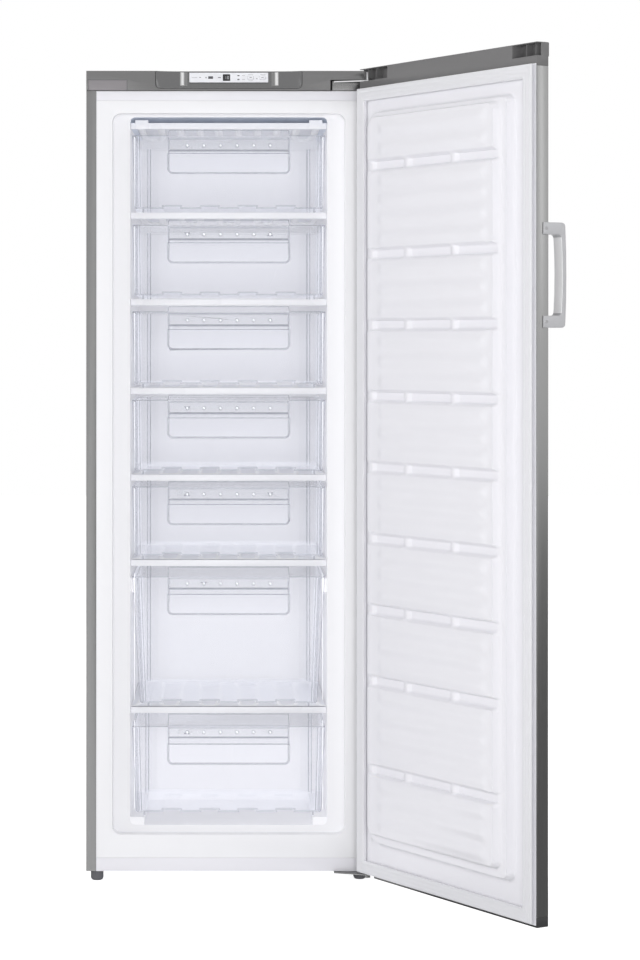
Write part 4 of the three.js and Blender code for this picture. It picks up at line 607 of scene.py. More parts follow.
def bordered(
    mesh: bpy.types.Mesh, width: float, slot: int, reach: float, floor: float
) -> bpy.types.Mesh:
    """Gives each smooth side of a mesh a border of another material.

    Args:
        mesh: Mesh whose sides meet at sharp edges.
        width: Width of the border, in metres.
        slot: Material slot of the border, and of sides that are too narrow for one.
        reach: Sides that lie wholly behind this Y have no border.
        floor: Long sides that lie wholly within this height above the foot have no border.

    Returns:
        The same mesh.
    """
    long_side = 40 * MM
    narrow_share = 1.3
    work = bmesh.new()
    work.from_mesh(mesh)
    foot = min(vertex.co.z for vertex in work.verts)
    for side in smooth_sides(work):
        depths = [vertex.co.y for face in side for vertex in face.verts]
        height = max(vertex.co.z for face in side for vertex in face.verts) - foot
        if min(depths) > reach or (height < floor and max(depths) - min(depths) > long_side):
            continue
        if sum(face.calc_area() for face in side) < rim_length(side) * width * narrow_share:
            border = side
        else:
            border = bmesh.ops.inset_region(
                work, faces=side, thickness=width, use_even_offset=True, use_boundary=True
            )["faces"]
        for face in border:
            face.material_index = slot
    work.to_mesh(mesh)
    work.free()
    return shaded(mesh, EASED_ANGLE)


def refined(node: str, finish: Finish, width: float, segments: int = 2) -> bpy.types.Object:
    """Replaces a CAD node by the same solid with eased edges.

    Args:
        node: CAD node to stand for.
        finish: Finish of the piece.
        width: Width of the eased edges, in metres.
        segments: Faces across each eased edge.

    Returns:
        The new piece.
    """
    mesh = eased(whole_mesh(node), width, segments)
    piece = shown(f"{node}_finished", mesh, finish, body_of(node))
    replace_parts(piece, node)
    return piece


# ---------- geometry node trees ----------


class Rule:
    """A number worked out in a node tree, written with ordinary signs."""

    def __init__(self, tree: bpy.types.NodeTree, socket: bpy.types.NodeSocket) -> None:
        """Names a socket of a tree as a number."""
        self.tree = tree
        self.socket = socket

    def _worked(self, operation: str, *others: "Rule | float") -> "Rule":
        """Adds a Math node.

        Args:
            operation: The node's operation.
            others: Terms after this one.

        Returns:
            The result.
        """
        node = self.tree.nodes.new("ShaderNodeMath")
        node.operation = operation
        for index, term in enumerate((self, *others)):
            if isinstance(term, Rule):
                self.tree.links.new(term.socket, node.inputs[index])
            else:
                node.inputs[index].default_value = term
        return Rule(self.tree, node.outputs[0])

    def __add__(self, other: "Rule | float") -> "Rule":
        """Adds."""
        return self._worked("ADD", other)

    def __sub__(self, other: "Rule | float") -> "Rule":
        """Subtracts."""
        return self._worked("SUBTRACT", other)

    def __mul__(self, other: "Rule | float") -> "Rule":
        """Multiplies."""
        return self._worked("MULTIPLY", other)

    def __truediv__(self, other: "Rule | float") -> "Rule":
        """Divides."""
        return self._worked("DIVIDE", other)

    def __abs__(self) -> "Rule":
        """Takes the size without its sign."""
        return self._worked("ABSOLUTE")

    def least(self, other: "Rule | float") -> "Rule":
        """Takes the lesser of two."""
        return self._worked("MINIMUM", other)

    def most(self, other: "Rule | float") -> "Rule":
        """Takes the greater of two."""
        return self._worked("MAXIMUM", other)

    def power(self, other: float) -> "Rule":
        """Raises to a power."""
        return self._worked("POWER", other)

    def sine(self) -> "Rule":
        """Takes the sine of an angle in radians."""
        return self._worked("SINE")

    def cosine(self) -> "Rule":
        """Takes the cosine of an angle in radians."""
        return self._worked("COSINE")

    def eased(self, start: float, end: float) -> "Rule":
        """Goes smoothly from 0 at one value to 1 at another."""
        node = self.tree.nodes.new("ShaderNodeMapRange")
        node.interpolation_type = "SMOOTHSTEP"
        self.tree.links.new(self.socket, node.inputs["Value"])
        node.inputs["From Min"].default_value = start
        node.inputs["From Max"].default_value = end
        return Rule(self.tree, node.outputs["Result"])

    def within(self, reach: float, wall: float) -> "Rule":
        """Goes smoothly from 1 to 0 over a wall on each side of a reach."""
        return self.eased(reach - wall, reach + wall) * -1.0 + 1.0


class PieceTree:
    """A geometry node tree with named sizes that ends in real meshes of one finish."""

    def __init__(self, name: str, sizes: dict[str, float]) -> None:
        """Starts a tree.

        Args:
            name: Name of the tree.
            sizes: Named inputs with their values; whole numbers become counts.
        """
        self.tree = bpy.data.node_groups.new(name, "GeometryNodeTree")
        self.sizes = sizes
        socket = self.tree.interface.new_socket
        socket("Geometry", in_out="INPUT", socket_type="NodeSocketGeometry")
        socket("Geometry", in_out="OUTPUT", socket_type="NodeSocketGeometry")
        for label, value in sizes.items():
            kind = "NodeSocketInt" if isinstance(value, int) else "NodeSocketFloat"
            socket(label, in_out="INPUT", socket_type=kind)
        self.source = self.tree.nodes.new("NodeGroupInput")
        self.target = self.tree.nodes.new("NodeGroupOutput")

    def node(self, kind: str, **inputs: "bpy.types.NodeSocket | Rule | float | str") -> bpy.types.Node:
        """Adds a node.

        Args:
            kind: Type of the node.
            inputs: Value or source of each input, named with _ for a space.

        Returns:
            The node.
        """
        made = self.tree.nodes.new(kind)
        for label, value in inputs.items():
            slot = made.inputs[label.replace("_", " ")]
            if isinstance(value, Rule):
                value = value.socket
            if isinstance(value, bpy.types.NodeSocket):
                self.tree.links.new(value, slot)
            else:
                slot.default_value = value
        return made

    def size(self, label: str) -> Rule:
        """Gives a named input as a number."""
        return Rule(self.tree, self.source.outputs[label])

    def parts(self, vector: bpy.types.NodeSocket) -> list[Rule]:
        """Splits a vector into its three numbers."""
        split = self.node("ShaderNodeSeparateXYZ", Vector=vector)
        return [Rule(self.tree, socket) for socket in split.outputs]

    def vector(self, x: "Rule | float", y: "Rule | float", z: "Rule | float") -> bpy.types.NodeSocket:
        """Joins three numbers into a vector."""
        return self.node("ShaderNodeCombineXYZ", X=x, Y=y, Z=z).outputs[0]

    def grown(
        self, shape: bpy.types.NodeSocket, finish: Finish, base: bpy.types.Mesh | None = None
    ) -> bpy.types.Mesh:
        """Ends the tree and turns what it makes into a plain mesh.

        Args:
            shape: Geometry that the tree makes.
            finish: Finish of the piece.
            base: Mesh that the tree starts from, where it needs one.

        Returns:
            The mesh, with its finish on every face.
        """
        real = self.node("GeometryNodeRealizeInstances", Geometry=shape)
        dressed = self.node("GeometryNodeSetMaterial", Geometry=real.outputs[0])
        dressed.inputs["Material"].default_value = finish.material()
        self.tree.links.new(dressed.outputs[0], self.target.inputs["Geometry"])
        carrier = bpy.data.objects.new(self.tree.name, base or bpy.data.meshes.new(self.tree.name))
        bpy.context.scene.collection.objects.link(carrier)
        modifier = carrier.modifiers.new("rule", "NODES")
        modifier.node_group = self.tree
        for item in self.tree.interface.items_tree:
            if item.in_out == "INPUT" and item.name in self.sizes:
                modifier[item.identifier] = self.sizes[item.name]
        return evaluated(carrier)


def repeated(name: str, base: bpy.types.Mesh, count: int, step: Vector, finish: Finish) -> bpy.types.Mesh:
    """Repeats a small mesh along a straight row.

    Args:
        name: Name of the tree.
        base: Mesh to repeat, at its first place.
        count: How many there are.
        step: From one to the next, in metres.
        finish: Finish of the row.

    Returns:
        One mesh of the whole row.
    """
    tree = PieceTree(name, {"Count": count, "Step X": step.x, "Step Y": step.y, "Step Z": step.z})
    way = tree.vector(tree.size("Step X"), tree.size("Step Y"), tree.size("Step Z"))
    row = tree.node("GeometryNodeMeshLine", Count=tree.size("Count"), Offset=way)
    placed = tree.node(
        "GeometryNodeInstanceOnPoints", Points=row.outputs[0], Instance=tree.source.outputs["Geometry"]
    )
    return tree.grown(placed.outputs[0], finish, base)


def snaking_tube(
    name: str,
    runs: int,
    pitch: float,
    reach: float,
    radii: tuple[float, float],
    finish: Finish,
    trim: float = 0.0,
) -> bpy.types.Mesh:
    """Makes a tube that snakes along X in the X and Y plane, with its runs along Y.

    Args:
        name: Name of the tree.
        runs: Number of parallel runs.
        pitch: Distance between two runs, in metres.
        reach: Half the length of the snake along Y, in metres.
        radii: Half width in the plane and half height across it, in metres.
        finish: Finish of the tube.
        trim: Part of a run that is left off at each end.

    Returns:
        The tube's mesh.
    """
    run_points = 22
    tube_sides = 10
    full_turn = 2 * math.pi
    sizes = {
        "Runs": float(runs),
        "Pitch": pitch,
        "Reach": reach,
        "Width": radii[0],
        "Flatness": radii[1] / radii[0],
        "Trim": trim,
    }
    tree = PieceTree(name, sizes)
    size = tree.size
    line = tree.node("GeometryNodeCurvePrimitiveLine")
    fine = tree.node("GeometryNodeResampleCurve", Curve=line.outputs[0], Count=runs * run_points)
    along = Rule(tree.tree, tree.node("GeometryNodeSplineParameter").outputs["Factor"])
    turn = along * (size("Runs") - size("Trim") * 2.0) + size("Trim")
    # c * 1.5 - c ** 3 * 0.5 holds each run straighter than a plain cosine c
    swing = (turn * math.pi).cosine()
    x = (turn + (turn * full_turn).sine() / full_turn - size("Runs") * 0.5) * size("Pitch")
    y = (swing * 1.5 - swing.power(3.0) * 0.5) * size("Reach") * -1.0
    path = tree.node(
        "GeometryNodeSetPosition", Geometry=fine.outputs[0], Position=tree.vector(x, y, 0.0)
    )
    ring = tree.node("GeometryNodeCurvePrimitiveCircle", Resolution=tube_sides, Radius=size("Width"))
    tube = tree.node(
        "GeometryNodeCurveToMesh", Curve=path.outputs[0], Profile_Curve=ring.outputs["Curve"]
    )
    tube.inputs["Fill Caps"].default_value = True
    px, py, pz = tree.parts(tree.node("GeometryNodeInputPosition").outputs[0])
    pressed = tree.vector(px, py, pz * size("Flatness"))
    flat = tree.node("GeometryNodeSetPosition", Geometry=tube.outputs[0], Position=pressed)
    return tree.grown(flat.outputs[0], finish)


def screw_heads(
    name: str, places: list[tuple[float, float]], radius: float, finish: Finish
) -> bpy.types.Mesh:
    """Makes domed screw heads with a cross recess, facing +Z, at places in the X and Y plane.

    Args:
        name: Name of the tree.
        places: Centre of each head, in metres.
        radius: Radius of a head, in metres.
        finish: Finish of the heads.

    Returns:
        One mesh of all the heads.
    """
    flatness, long, narrow, depth = 0.45, 1.1, 0.22, 0.5
    tree = PieceTree(name, {"Radius": radius})
    head = tree.size("Radius")
    ball = tree.node("GeometryNodeMeshUVSphere", Segments=18, Rings=10, Radius=head)
    dome = tree.node(
        "GeometryNodeTransform", Geometry=ball.outputs["Mesh"], Scale=tree.vector(1.0, 1.0, flatness)
    )
    bars = []
    raised = tree.vector(0.0, 0.0, head * depth)
    for length, width in ((long, narrow), (narrow, long)):
        size = tree.vector(head * length, head * width, head * depth)
        bar = tree.node("GeometryNodeMeshCube", Size=size).outputs["Mesh"]
        bars.append(tree.node("GeometryNodeTransform", Geometry=bar, Translation=raised))
    carved = tree.node("GeometryNodeMeshBoolean")
    carved.operation = "DIFFERENCE"
    tree.tree.links.new(dome.outputs[0], carved.inputs["Mesh 1"])
    for bar in bars:
        tree.tree.links.new(bar.outputs[0], carved.inputs["Mesh 2"])
    placed = tree.node(
        "GeometryNodeInstanceOnPoints", Points=tree.source.outputs["Geometry"], Instance=carved.outputs[0]
    )
    base = bpy.data.meshes.new(name)
    base.from_pydata([(x, y, 0.0) for x, y in places], [], [])
    return tree.grown(placed.outputs[0], finish, base)


@dataclass(frozen=True)
class Plateau:
    """A raised rectangle with rounded corners on a formed sheet, in metres."""

    half: float
    low: float
    high: float
    rise: float
    radius: float = 16.0 * MM
    centre: float = 0.0


@dataclass(frozen=True)
class Relief:
    """Shape of a formed door liner: plateaus, storage grooves with clip tabs, and ripples."""

    half: float
    low: float
    high: float
    face: float
    plateaus: tuple[Plateau, ...]
    grooves: tuple[float, ...]
    groove_half: float
    groove_floor: float
    groove_reach: float
    groove_centre: float
    tabs: tuple[float, ...]
    tab_half: float
    tab_rise: float
    ripple_pitch: float
    ripple_rise: float
    ripple_sides: tuple[float, float]
    ripple_fade: float = 26.0 * MM
    ripple_gap: float = 2.5 * MM
    groove_wall: float = 2.5 * MM
    groove_end: float = 2.0 * MM
    tab_wall: float = 1.5 * MM
    plateau_wall: tuple[float, float] = (-3.0 * MM, 1.5 * MM)
    cell: tuple[float, float] = (4.0 * MM, 3.0 * MM)

    def bands(self) -> list[tuple[float, float, int]]:
        """Gives foot, top and number of ripples of each band between two grooves."""
        panel = self.plateaus[-1]
        marks = [panel.low + self.ripple_gap]
        for groove in sorted(self.grooves):
            marks += [groove - self.groove_half, groove + self.groove_half]
        marks.append(panel.high - self.ripple_gap)
        pairs = zip(marks[::2], marks[1::2])
        return [(low, high, int((high - low) / self.ripple_pitch)) for low, high in pairs]


def lesser(values: list[Rule]) -> Rule:
    """Takes the least of several numbers."""
    result = values[0]
    for value in values[1:]:
        result = result.least(value)
    return result


def plateau_share(x: Rule, z: Rule, plateau: Plateau, wall: tuple[float, float]) -> Rule:
    """Goes from 0 outside a plateau to 1 on it.

    Args:
        x: Place across the sheet.
        z: Place up the sheet.
        plateau: Raised rectangle.
        wall: Where its wall starts and ends, inwards from the outline.

    Returns:
        Share of the plateau's rise.
    """
    over_x = abs(x - plateau.centre) - (plateau.half - plateau.radius)
    middle = (plateau.low + plateau.high) / 2
    over_z = abs(z - middle) - ((plateau.high - plateau.low) / 2 - plateau.radius)
    corner = (over_x.most(0.0).power(2.0) + over_z.most(0.0).power(2.0)).power(0.5)
    inside = (corner + over_x.most(over_z).least(0.0) - plateau.radius) * -1.0
    return inside.eased(*wall)


def ripple_share(tree: PieceTree, x: Rule, z: Rule, relief: Relief) -> Rule:
    """Goes from 0 in the valleys of the ripples to 1 on their crests.

    Args:
        tree: Tree to add the nodes to.
        x: Place across the sheet.
        z: Place up the sheet.
        relief: Shape of the sheet.

    Returns:
        Share of the ripples' rise.
    """
    waves = []
    for low, high, count in relief.bands():
        turns = count * 2 * math.pi
        wave = tree.node("ShaderNodeMapRange", Value=z, From_Min=low, From_Max=high, To_Max=turns)
        waves.append(Rule(tree.tree, wave.outputs["Result"]).cosine())
    total = waves[0]
    for wave in waves[1:]:
        total = total + wave
    left, right = relief.ripple_sides
    fade = relief.ripple_fade
    across = x.eased(left, left + fade) * (x.eased(right - fade, right) * -1.0 + 1.0)
    return (total * -0.5 + len(waves) * 0.5) * across


def relief_mesh(name: str, relief: Relief, finish: Finish) -> bpy.types.Mesh:
    """Forms a sheet by a rule: its height in Y follows from its place in X and Z.

    Args:
        name: Name of the tree.
        relief: Shape of the sheet.
        finish: Finish of the sheet.

    Returns:
        The sheet's open mesh, facing +Y.
    """
    sizes = {
        "Width": relief.half * 2,
        "Height": relief.high - relief.low,
        "Columns": int(relief.half * 2 / relief.cell[0]) + 1,
        "Rows": int((relief.high - relief.low) / relief.cell[1]) + 1,
        "Groove Floor": relief.groove_floor,
        "Tab Rise": relief.tab_rise,
        "Ripple Rise": relief.ripple_rise,
    }
    tree = PieceTree(name, sizes)
    size = tree.size
    grid = tree.node(
        "GeometryNodeMeshGrid",
        Size_X=size("Width"),
        Size_Y=size("Height"),
        Vertices_X=size("Columns"),
        Vertices_Y=size("Rows"),
    )
    x, z, _flat = tree.parts(tree.node("GeometryNodeInputPosition").outputs[0])
    z = z + (relief.low + relief.high) / 2
    height = x * 0.0 + relief.face  # level everywhere before anything is raised
    for plateau in relief.plateaus:
        height = height + plateau_share(x, z, plateau, relief.plateau_wall) * plateau.rise
    height = height + ripple_share(tree, x, z, relief) * size("Ripple Rise")
    near = lesser([abs(z - groove) for groove in relief.grooves])
    across = abs(x - relief.groove_centre).within(relief.groove_reach, relief.groove_end)
    groove = near.within(relief.groove_half, relief.groove_wall) * across
    height = height - (height - size("Groove Floor")).most(0.0) * groove
    beside = lesser([abs(x - tab) for tab in relief.tabs])
    tab = beside.within(relief.tab_half, relief.tab_wall)
    height = height + tab * groove * size("Tab Rise")
    formed = tree.node(
        "GeometryNodeSetPosition", Geometry=grid.outputs["Mesh"], Position=tree.vector(x, height, z)
    )
    turned = tree.node("GeometryNodeFlipFaces", Mesh=formed.outputs[0])
    return tree.grown(turned.outputs[0], finish)


def settled(mesh: bpy.types.Mesh, matrix: Matrix) -> bpy.types.Mesh:
    """Moves a mesh's points by a matrix and shades it by the angle of its edges."""
    mesh.transform(matrix)
    if matrix.determinant() < 0:
        mesh.flip_normals()
    return shaded(mesh, MOULDED_ANGLE)


FACING_BACK = Matrix(((-1, 0, 0, 0), (0, 0, 1, 0), (0, 1, 0, 0), (0, 0, 0, 1)))


# ---------- sub-assemblies ----------


@dataclass
class CabinetShell:
    """Steel case, rails, back, top mouldings and the insulated box."""

    sheet_edge: float = 0.3 * MM
    case_edge: float = 0.36 * MM
    rail_edge: float = 0.35 * MM
    deck_edge: float = 0.5 * MM
    liner_edge: float = 0.9 * MM
    foam_edge: float = 0.2 * MM
    top_edge: float = 1.0 * MM
    fascia_edge: float = 0.8 * MM
    cap_edge: float = 0.6 * MM
    mouth_depth: float = 11 * MM
    ceiling: float = 1592 * MM
    # Width of the painted shade in the gap beside the hinge hole cap.
    cap_gap_shade: float = 0.8 * MM
    gap_shade_rise: float = 0.1 * MM
    screw_radius: float = 3.6 * MM
    screw_rows: int = 7
    screw_side: float = 9 * MM
    screw_end: float = 15 * MM
    back_sheet: float = 0.7 * MM

    def build(self) -> None:
        """Dresses every piece of the cabinet's shell."""
        refined("outer_case", CASE_STEEL, self.case_edge)
        refined("back_panel", BACK_ZINC, self.sheet_edge)
        refined("base_pan", BACK_ZINC, self.sheet_edge)
        refined("compressor_deck", BACK_ZINC, self.deck_edge)
        for rail in ("upper_front_rail", "lower_front_rail"):
            refined(rail, PAINT_WHITE, self.rail_edge)
        self._liner()
        refined("foam_insulation", FOAM, self.foam_edge, 1)
        refined("top_panel", CAP_GREY, self.top_edge)
        refined("fascia_panel", FASCIA_GREY, self.fascia_edge)
        refined("hinge_hole_cap", HOLE_CAP_GREY, self.cap_edge)
        self._paint_gap_shade()
        self._back_screws()

    def _liner(self) -> None:
        """Dresses the liner: its mouth, its inside with a faint painted glow, and its ceiling in a painted
        shade.
        """
        liner = refined("inner_liner", LINER_WHITE, self.liner_edge, 3)
        liner.data.materials.append(LINER_INSIDE_PAINTED_GLOW.material())
        liner.data.materials.append(LINER_CEILING_PAINTED_SHADE.material())
        # Inside faces take the painted glow, and those under the ceiling take the painted shade.
        for face in liner.data.polygons:
            inside = face.center.y > self.mouth_depth
            above = face.center.z > self.ceiling
            face.material_index = int(inside) + int(inside and above)

    def _paint_gap_shade(self) -> None:
        """Paints the shade in the narrow gap above and to the right of the cap over the spare hinge hole,
        as dark slabs on the fascia.
        """
        low, high = corners_of("hinge_hole_cap")
        face = corners_of("fascia_panel")[0].y
        width = self.cap_gap_shade
        middle, centre = (low.x + high.x) / 2, (low.z + high.z) / 2
        places = [
            (middle, high.z + width / 2, high.x - low.x + 2 * width, width),
            (high.x + width / 2, centre, width, high.z - low.z),
        ]
        shown("cap_gap_shade", slabs_mesh(places, face, self.gap_shade_rise), DARK_PLASTIC, "cabinet")

    def _back_screws(self) -> None:
        """Adds the screws along both sides of the back panel."""
        low, high = corners_of("back_panel")
        foot, top = low.z + self.screw_end, high.z - self.screw_end
        spacing = (top - foot) / (self.screw_rows - 1)
        heights = [foot + spacing * row for row in range(self.screw_rows)]
        sides = (low.x + self.screw_side, high.x - self.screw_side)
        places = [(-x, z) for x in sides for z in heights]
        heads = screw_heads("back_screw_heads", places, self.screw_radius, HINGE_ZINC)
        outside = Matrix.Translation((0.0, low.y + self.back_sheet, 0.0)) @ FACING_BACK
        shown("back_screws", settled(heads, outside), None, "cabinet")


@dataclass
class Controls:
    """Control recess, strip, display and keys, with generic marks, the temperature, and painted
    reflections on the recess.

    Slabs are given in millimetres about the strip's middle: centre X, centre Z, width and height.
    """

    edge: float = 0.35 * MM
    middle: tuple[float, float] = (MIDDLE_X, 1692.7 * MM)
    strip_face: float = -12.5 * MM
    window_face: float = -12.2 * MM
    key_face: float = -13.8 * MM
    recess_face: float = -10.0 * MM
    # Painted reflections of the lamps on the recess's curved ends.
    glints: tuple[Slab, ...] = ((-97.6, -2.6, 5.0, 27.0), (100.9, -2.6, 5.4, 27.0))
    sheens: tuple[Slab, ...] = ((-98.2, -2.6, 9.0, 28.0), (101.5, -2.6, 9.6, 28.0))
    broad_sheens: tuple[Slab, ...] = ((-103.0, -3.0, 32.0, 29.0), (107.0, -3.0, 34.0, 29.0))
    broad_sheen_rise: float = 0.2 * MM
    sheen_rise: float = 0.3 * MM
    glint_rise: float = 0.4 * MM
    dark_marks: tuple[Slab, ...] = (
        (-38.2, 0.0, 10.0, 5.4), (-20.0, 0.0, 6.0, 1.7),
        (20.4, 4.1, 4.2, 2.3), (20.4, -4.1, 4.2, 2.3),
    )
    grey_marks: tuple[Slab, ...] = (
        (-60.5, 0.3, 3.6, 1.5), (-48.0, 0.0, 2.2, 2.8), (59.4, -2.6, 3.4, 1.6),
    )
    faint_marks: tuple[Slab, ...] = (
        (-72.3, 0.0, 12.0, 1.1), (31.0, 4.1, 6.6, 1.3), (31.0, -4.1, 6.6, 1.3),
        (46.2, 5.9, 11.0, 1.2), (72.0, 5.9, 12.0, 1.2), (46.2, -6.4, 9.0, 1.0),
    )
    key_places: tuple[tuple[str, float], ...] = (("mode_key", 46.0), ("set_key", 71.0))
    key_mark: tuple[float, float] = (4.6, 1.5)
    digits: tuple[tuple[str, float], ...] = (("1", -7.6), ("8", -1.9))
    digit_size: tuple[float, float, float] = (3.2, 6.4, 0.6)

    def build(self) -> None:
        """Dresses the controls."""
        refined("control_bezel", BEZEL_SILVER, self.edge)
        for name, places, finish, rise in (
            ("bezel_broad_sheen", self.broad_sheens, BEZEL_BROAD_SHEEN, self.broad_sheen_rise),
            ("bezel_sheen", self.sheens, BEZEL_SHEEN, self.sheen_rise),
            ("bezel_glints", self.glints, BEZEL_GLINT, self.glint_rise),
        ):
            slabs = slabs_mesh(self._placed(places), self.recess_face, rise)
            shown(name, slabs, finish, "cabinet")
        refined("control_strip", TRIM_WHITE, self.edge)
        refined("display_window", DISPLAY, self.edge)
        for tone, places, finish in (
            ("dark", self.dark_marks, MARK_DARK),
            ("grey", self.grey_marks, MARK_GREY),
            ("faint", self.faint_marks, MARK_FAINT),
        ):
            slabs = slabs_mesh(self._placed(places), self.strip_face)
            shown(f"marks_{tone}", slabs, finish, "cabinet")
        for key, x in self.key_places:
            refined(key, TRIM_WHITE, self.edge)
            mark = slabs_mesh(self._placed([(x, 0.0, *self.key_mark)]), self.key_face)
            shown(f"{key}_mark", mark, MARK_GREY, body_of(key))
        strokes = [bar for digit, x in self.digits for bar in self._strokes(digit, x)]
        lit = slabs_mesh(self._placed(strokes), self.window_face)
        shown("display_digits", lit, DIGIT_LIGHT, "cabinet")

    def _placed(self, places: Iterable[Slab]) -> list[Slab]:
        """Turns places in millimetres about the strip's middle into places in metres."""
        x0, z0 = self.middle
        return [(x0 + x * MM, z0 + z * MM, width * MM, height * MM) for x, z, width, height in places]

    def _strokes(self, digit: str, x: float) -> list[Slab]:
        """Gives the lit bars of a seven-bar digit.

        Args:
            digit: The number.
            x: Its middle, in millimetres from the strip's.

        Returns:
            Centre X, centre Z, width and height of each bar, in millimetres.
        """
        width, height, bar = self.digit_size
        side, level = (width - bar) / 2, (height - bar) / 2
        tall = (height - 3 * bar) / 2
        bars = {
            "top": (x, level, width - bar, bar),
            "middle": (x, 0.0, width - bar, bar),
            "foot": (x, -level, width - bar, bar),
            "upper_left": (x - side, level / 2, bar, tall),
            "upper_right": (x + side, level / 2, bar, tall),
            "lower_left": (x - side, -level / 2, bar, tall),
            "lower_right": (x + side, -level / 2, bar, tall),
        }
        lit = {"1": ("upper_right", "lower_right"), "8": tuple(bars)}
        return [bars[name] for name in lit[digit]]


@dataclass
class Storage:
    """Evaporator shelves, their trims and the drawers."""

    count: int = 7
    plate: float = 1.5 * MM
    plate_edge: float = 0.4 * MM
    trim_edge: float = 0.4 * MM
    trim_depth: float = 11.0 * MM
    channel_margin: float = 10.0 * MM
    channel_width: float = 15.0 * MM
    channel_share: float = 0.72
    runs: int = 10
    pitch: float = 42.0 * MM
    drawer_edge: float = 0.5 * MM
    # Width of the painted dark border round each side of a drawer.
    drawer_border: float = 1.3 * MM
    border_reach: float = 200.0 * MM
    border_floor: float = 16.0 * MM
    corner_inset: float = 4.0 * MM
    corner_side: float = 20.0 * MM
    corner_radius: float = 25.0 * MM
    corner_wall: float = 1.6 * MM
    corner_foot: float = 4.0 * MM
    corner_drop: float = 12.0 * MM
    corner_steps: int = 12
    corner_shade_lines: tuple[int, ...] = (0, 1, 5)
    # Painted highlight bars inside each drawer's front wall.
    glint_inset: float = 5.0 * MM
    glint_width: float = 1.2 * MM
    glint_end: float = 14.0 * MM
    glint_depth: float = 1.2 * MM
    glint_rise: float = 0.4 * MM
    nub_drops: tuple[float, ...] = (*(29.4 * MM,) * 5, 39.4 * MM, 45.4 * MM)
    nub_count: int = 6
    nub_pitch: float = 35.5 * MM
    nub_radius: float = 2.8 * MM
    # Offset of each nub's painted shadow behind and below it.
    shade_behind: float = 1.6 * MM
    shade_below: float = 1.5 * MM
    scoop_back: float = 68.0 * MM

    def build(self) -> None:
        """Dresses the shelves and the drawers."""
        for number in range(1, self.count + 1):
            self._evaporator(f"evaporator_shelf_{number}")
            refined(f"shelf_trim_{number}", TRIM_WHITE, self.trim_edge)
            self._tub(f"drawer_{number}")
            self._corners(f"drawer_{number}")
            self._glints(f"drawer_{number}")
            self._nubs(f"drawer_{number}", self.nub_drops[number - 1])

    def _evaporator(self, node: str) -> None:
        """Dresses a shelf: its plate, and the channel that snakes under it, both with a faint painted
        glow.

        Args:
            node: CAD node of the shelf.
        """
        low, high = corners_of(node)
        foot = high.z - self.plate
        plate = eased(box_mesh((low.x, low.y, foot), (high.x, high.y, high.z)), self.plate_edge)
        plate_piece = shown(f"{node}_plate", plate, ENAMEL_PAINTED_GLOW, body_of(node))
        drop = foot - low.z
        front = low.y + self.trim_depth
        reach = (high.y - front - self.channel_margin) / 2
        radii = (self.channel_width / 2, drop * self.channel_share)
        tube = snaking_tube(f"{node}_channel", self.runs, self.pitch, reach, radii, CHANNEL_PAINTED_GLOW)
        sink = drop * (1 - self.channel_share)
        middle = Matrix.Translation(((low.x + high.x) / 2, (front + high.y) / 2, foot - sink))
        channel = shown(f"{node}_channel", settled(tube, middle), None, body_of(node))
        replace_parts(plate_piece, node)
        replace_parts(channel, node)

    def _clear_piece(self, node: str, part: str, mesh: bpy.types.Mesh) -> bpy.types.Object:
        """Shows a clear moulding of a drawer, which casts no shadow and lights nothing.

        Args:
            node: CAD node of the drawer.
            part: What the moulding is.
            mesh: Its mesh, with its materials.

        Returns:
            The new piece.
        """
        piece = shown(f"{node}_{part}", mesh, None, body_of(node))
        piece.visible_shadow = False
        piece.visible_diffuse = False
        return piece

    def _tub(self, node: str) -> None:
        """Dresses a drawer as a faintly glowing clear moulding, with painted dark lines on its rounded
        edges and round its sides.

        Args:
            node: CAD node of the drawer.
        """
        mesh = whole_mesh(node)
        # Slot 1 holds the painted dark lines on the edges and borders.
        mesh.materials.append(DRAWER_CLEAR_PAINTED_GLOW.material())
        mesh.materials.append(DRAWER_EDGE_PAINTED_SHADE.material())
        rounded = eased(mesh, self.drawer_edge, edge_slot=1)
        tub = bordered(rounded, self.drawer_border, 1, self.border_reach, self.border_floor)
        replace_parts(self._clear_piece(node, "moulding", tub), node)

    def _corners(self, node: str) -> None:
        """Adds the rounded rear corners inside a drawer, with painted dark lines on some of their steps
        and on their ends.

        Args:
            node: CAD node of the drawer.
        """
        low, high = corners_of(node)
        span = (low.z + self.corner_foot, high.z - self.corner_drop)
        back = high.y - self.corner_inset - self.corner_radius
        reach = (high.x - low.x) / 2 - self.corner_side - self.corner_radius
        work = bmesh.new()
        for side in (-1, 1):
            self._corner(work, ((low.x + high.x) / 2 + side * reach, back), side, span)
        bmesh.ops.recalc_face_normals(work, faces=work.faces)
        mesh = bpy.data.meshes.new(f"{node}_corners")
        work.to_mesh(mesh)
        work.free()
        mesh.materials.append(DRAWER_CLEAR_PAINTED_GLOW.material())
        mesh.materials.append(DRAWER_EDGE_PAINTED_SHADE.material())
        self._clear_piece(node, "corners", shaded(mesh, RIB_ANGLE))

    def _corner(
        self,
        work: bmesh.types.BMesh,
        centre: tuple[float, float],
        side: int,
        span: tuple[float, float],
    ) -> None:
        """Adds one upright quarter of a round wall.

        Args:
            work: Mesh to add it to.
            centre: X and Y of the quarter's centre.
            side: -1 for the left corner, 1 for the right one.
            span: Z of its foot and its top.
        """
        x, y = centre
        foot, top = span
        outer, inner = self.corner_radius, self.corner_radius - self.corner_wall
        rings = []
        for step in range(self.corner_steps + 1):
            angle = step / self.corner_steps * math.pi / 2
            along, across = math.sin(angle), side * math.cos(angle)
            section = ((outer, foot), (outer, top), (inner, top), (inner, foot))
            points = [(x + across * reach, y + along * reach, z) for reach, z in section]
            rings.append([work.verts.new(point) for point in points])
        for step, (ring, following) in enumerate(zip(rings, rings[1:])):
            for corner in range(4):
                after = (corner + 1) % 4
                wall = (ring[corner], ring[after], following[after], following[corner])
